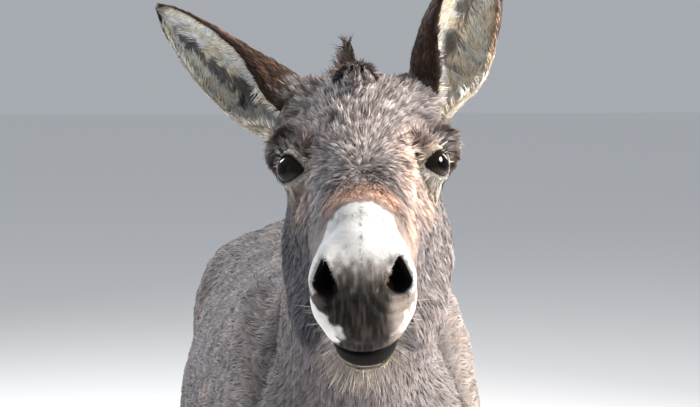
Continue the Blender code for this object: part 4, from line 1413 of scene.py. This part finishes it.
def dressInCoat():
    source = sourceOf(skin)
    for number, (name, (chosen, count, fine)) in enumerate(coatParts(source).items()):
        growCoat(name, source, chosen, count, 100 + number, bodyHair, hairThickness, fine=fine)
        print(name, "grown")
    for number, side in enumerate(("left", "right")):
        source = sourceOf(ears[side], steady=True)  # solidify leaves its triangles in no fixed order
        name, seed = f"coatEar.{side}", 200 + number
        growCoat(name, source, source["all"], 21000, seed, earHair(side), fine=0.75)
    print("coat grown")


dressInCoat()

# Long hair: the mane, the forelock and the tuft of the tail grow on slimmer cores of their own
longHair = {
    # node: how much slimmer its core is, hair length, lift, tufts
    "mane": (0.0080, 0.022, 0.10, 15000),
    "forelock": (0.0060, 0.018, 0.14, 5000),
    "tail_tuft": (0.0070, 0.060, 0.08, 9000),
}


def longLie(node, points):
    if node == "mane":  # up and a little back, spreading at its top between the ears
        spread = np.clip((points[:, 0] - headStart[0]) / 0.010, -1, 1) * rise(-points[:, 1], 0.30, 0.42)
        return np.stack([0.75 * spread, 0.35 + 0 * spread, 1 + 0 * spread], 1)
    if node == "forelock":
        return np.tile(turnFromHead((0, 1.0, 0.15)), (len(points), 1))
    return np.tile((0, 0.05, -1.0), (len(points), 1))


def longTint(node, points):
    patch = cloud(points, 0.025, 61)
    top = rise(-points[:, 1], 0.38, 0.46)  # lighter between the ears
    brown = mix(tints["mane"] * 0.35, tints["mane"], rise(patch, -0.6, 0.8))
    brown = mix(brown, mix(tints["rust"] * 0.34, tints["warm"], rise(patch, -0.9, 0.1)), top)
    return mix(brown, tints["grey"] * 1.2, 0.85 if node == "forelock" else 0.0)


def makeLongHair(node, number):
    sunk, length, lift, count = longHair[node]
    hangs = node == "tail_tuft"
    core = smoothHull(mergedCopy(node), "core_" + node, 0.004, 8)
    normals = normalsOf(core.data)
    foot = rise(normals[:, 2] * (1 if hangs else -1), 0.2, 0.7)  # this side reaches into the body
    setPoints(core.data, pointsOf(core.data) + normals * mix(-sunk, 0.009, foot)[:, None])
    core.data.shade_smooth()
    # painted shade: the core under the long hair is painted darker than the hair
    paint(core.data, "markingsAndShade", longTint(node, pointsOf(core.data)) * 0.6)
    core.data.materials.append(coatLook)
    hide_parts(node)
    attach(core, "root")

    def plan(roots, normals):
        way = unit(onSurface(longLie(node, roots), normals, 0.9))
        full = length * mix(1, 0.25, rise(normals[:, 2], 0.3, 0.8)) if hangs else length  # short on its top
        return hairPlan(way, longTint(node, roots), length=full, lift=lift, plain=0.0, vary=0.7)

    source = sourceOf(core)
    name, seed = "hair_" + node, 300 + number
    growCoat(name, source, source["all"], count, seed, plan, lock=24, fine=0.55)


for hairNumber, hairNode in enumerate(longHair):
    makeLongHair(hairNode, hairNumber)
print("long hair grown")


# Whiskers stand out round the lips and chin, and lashes along the upper lids
whiskerSet = {
    "count": 340, "length": 0.033, "from": (0, 0.385, 0.100),  # they radiate from this place in the muzzle
    "lashes": 80, "lashLength": 0.0065,
}


def whiskerHair(roots, normals):
    way = turnFromHead(unit((toHead(roots) - whiskerSet["from"]) * (2.2, 1, 1)))
    pale = mix(tints["warm"], tints["cream"], 0.6)
    return hairPlan(way, pale, length=whiskerSet["length"], lift=0.55, plain=0.5, vary=1.0)


def lashHair(roots, normals):
    own = toHead(roots)
    way = unit(own - eyeCentre(np.sign(own[:, 0].mean()))) + np.array((0, 0.15, 0.35))
    return hairPlan(
        turnFromHead(way), tints["black"], length=whiskerSet["lashLength"], lift=0.5, plain=0.8, vary=1.0,
    )


def growWhiskers():
    source = sourceOf(skin)
    own = toHead(source["middle"])
    head = onHead(source["middle"], own)
    _, edge = mouthLines(own[:, 0])
    lips = head & (own[:, 1] > 0.350) & (own[:, 2] > edge - 0.002)
    growCoat(
        "whiskers", source, lips, whiskerSet["count"], 400, whiskerHair,
        lock=2, fine=0.09, steps=3,
    )
    for number, (side, sign) in enumerate((("left", 1), ("right", -1))):
        gap, far = lidDistance(own, sign)
        rim = head & (far < lidSet["reach"]) & (gap > 0.01) & (gap < 0.085) & (aboveEye(own, sign) > 0.004)
        growCoat(
            f"lashes.{side}", source, rim, whiskerSet["lashes"], 410 + number, lashHair,
            fine=0.35, steps=3,
        )


growWhiskers()
print("whiskers and lashes grown")
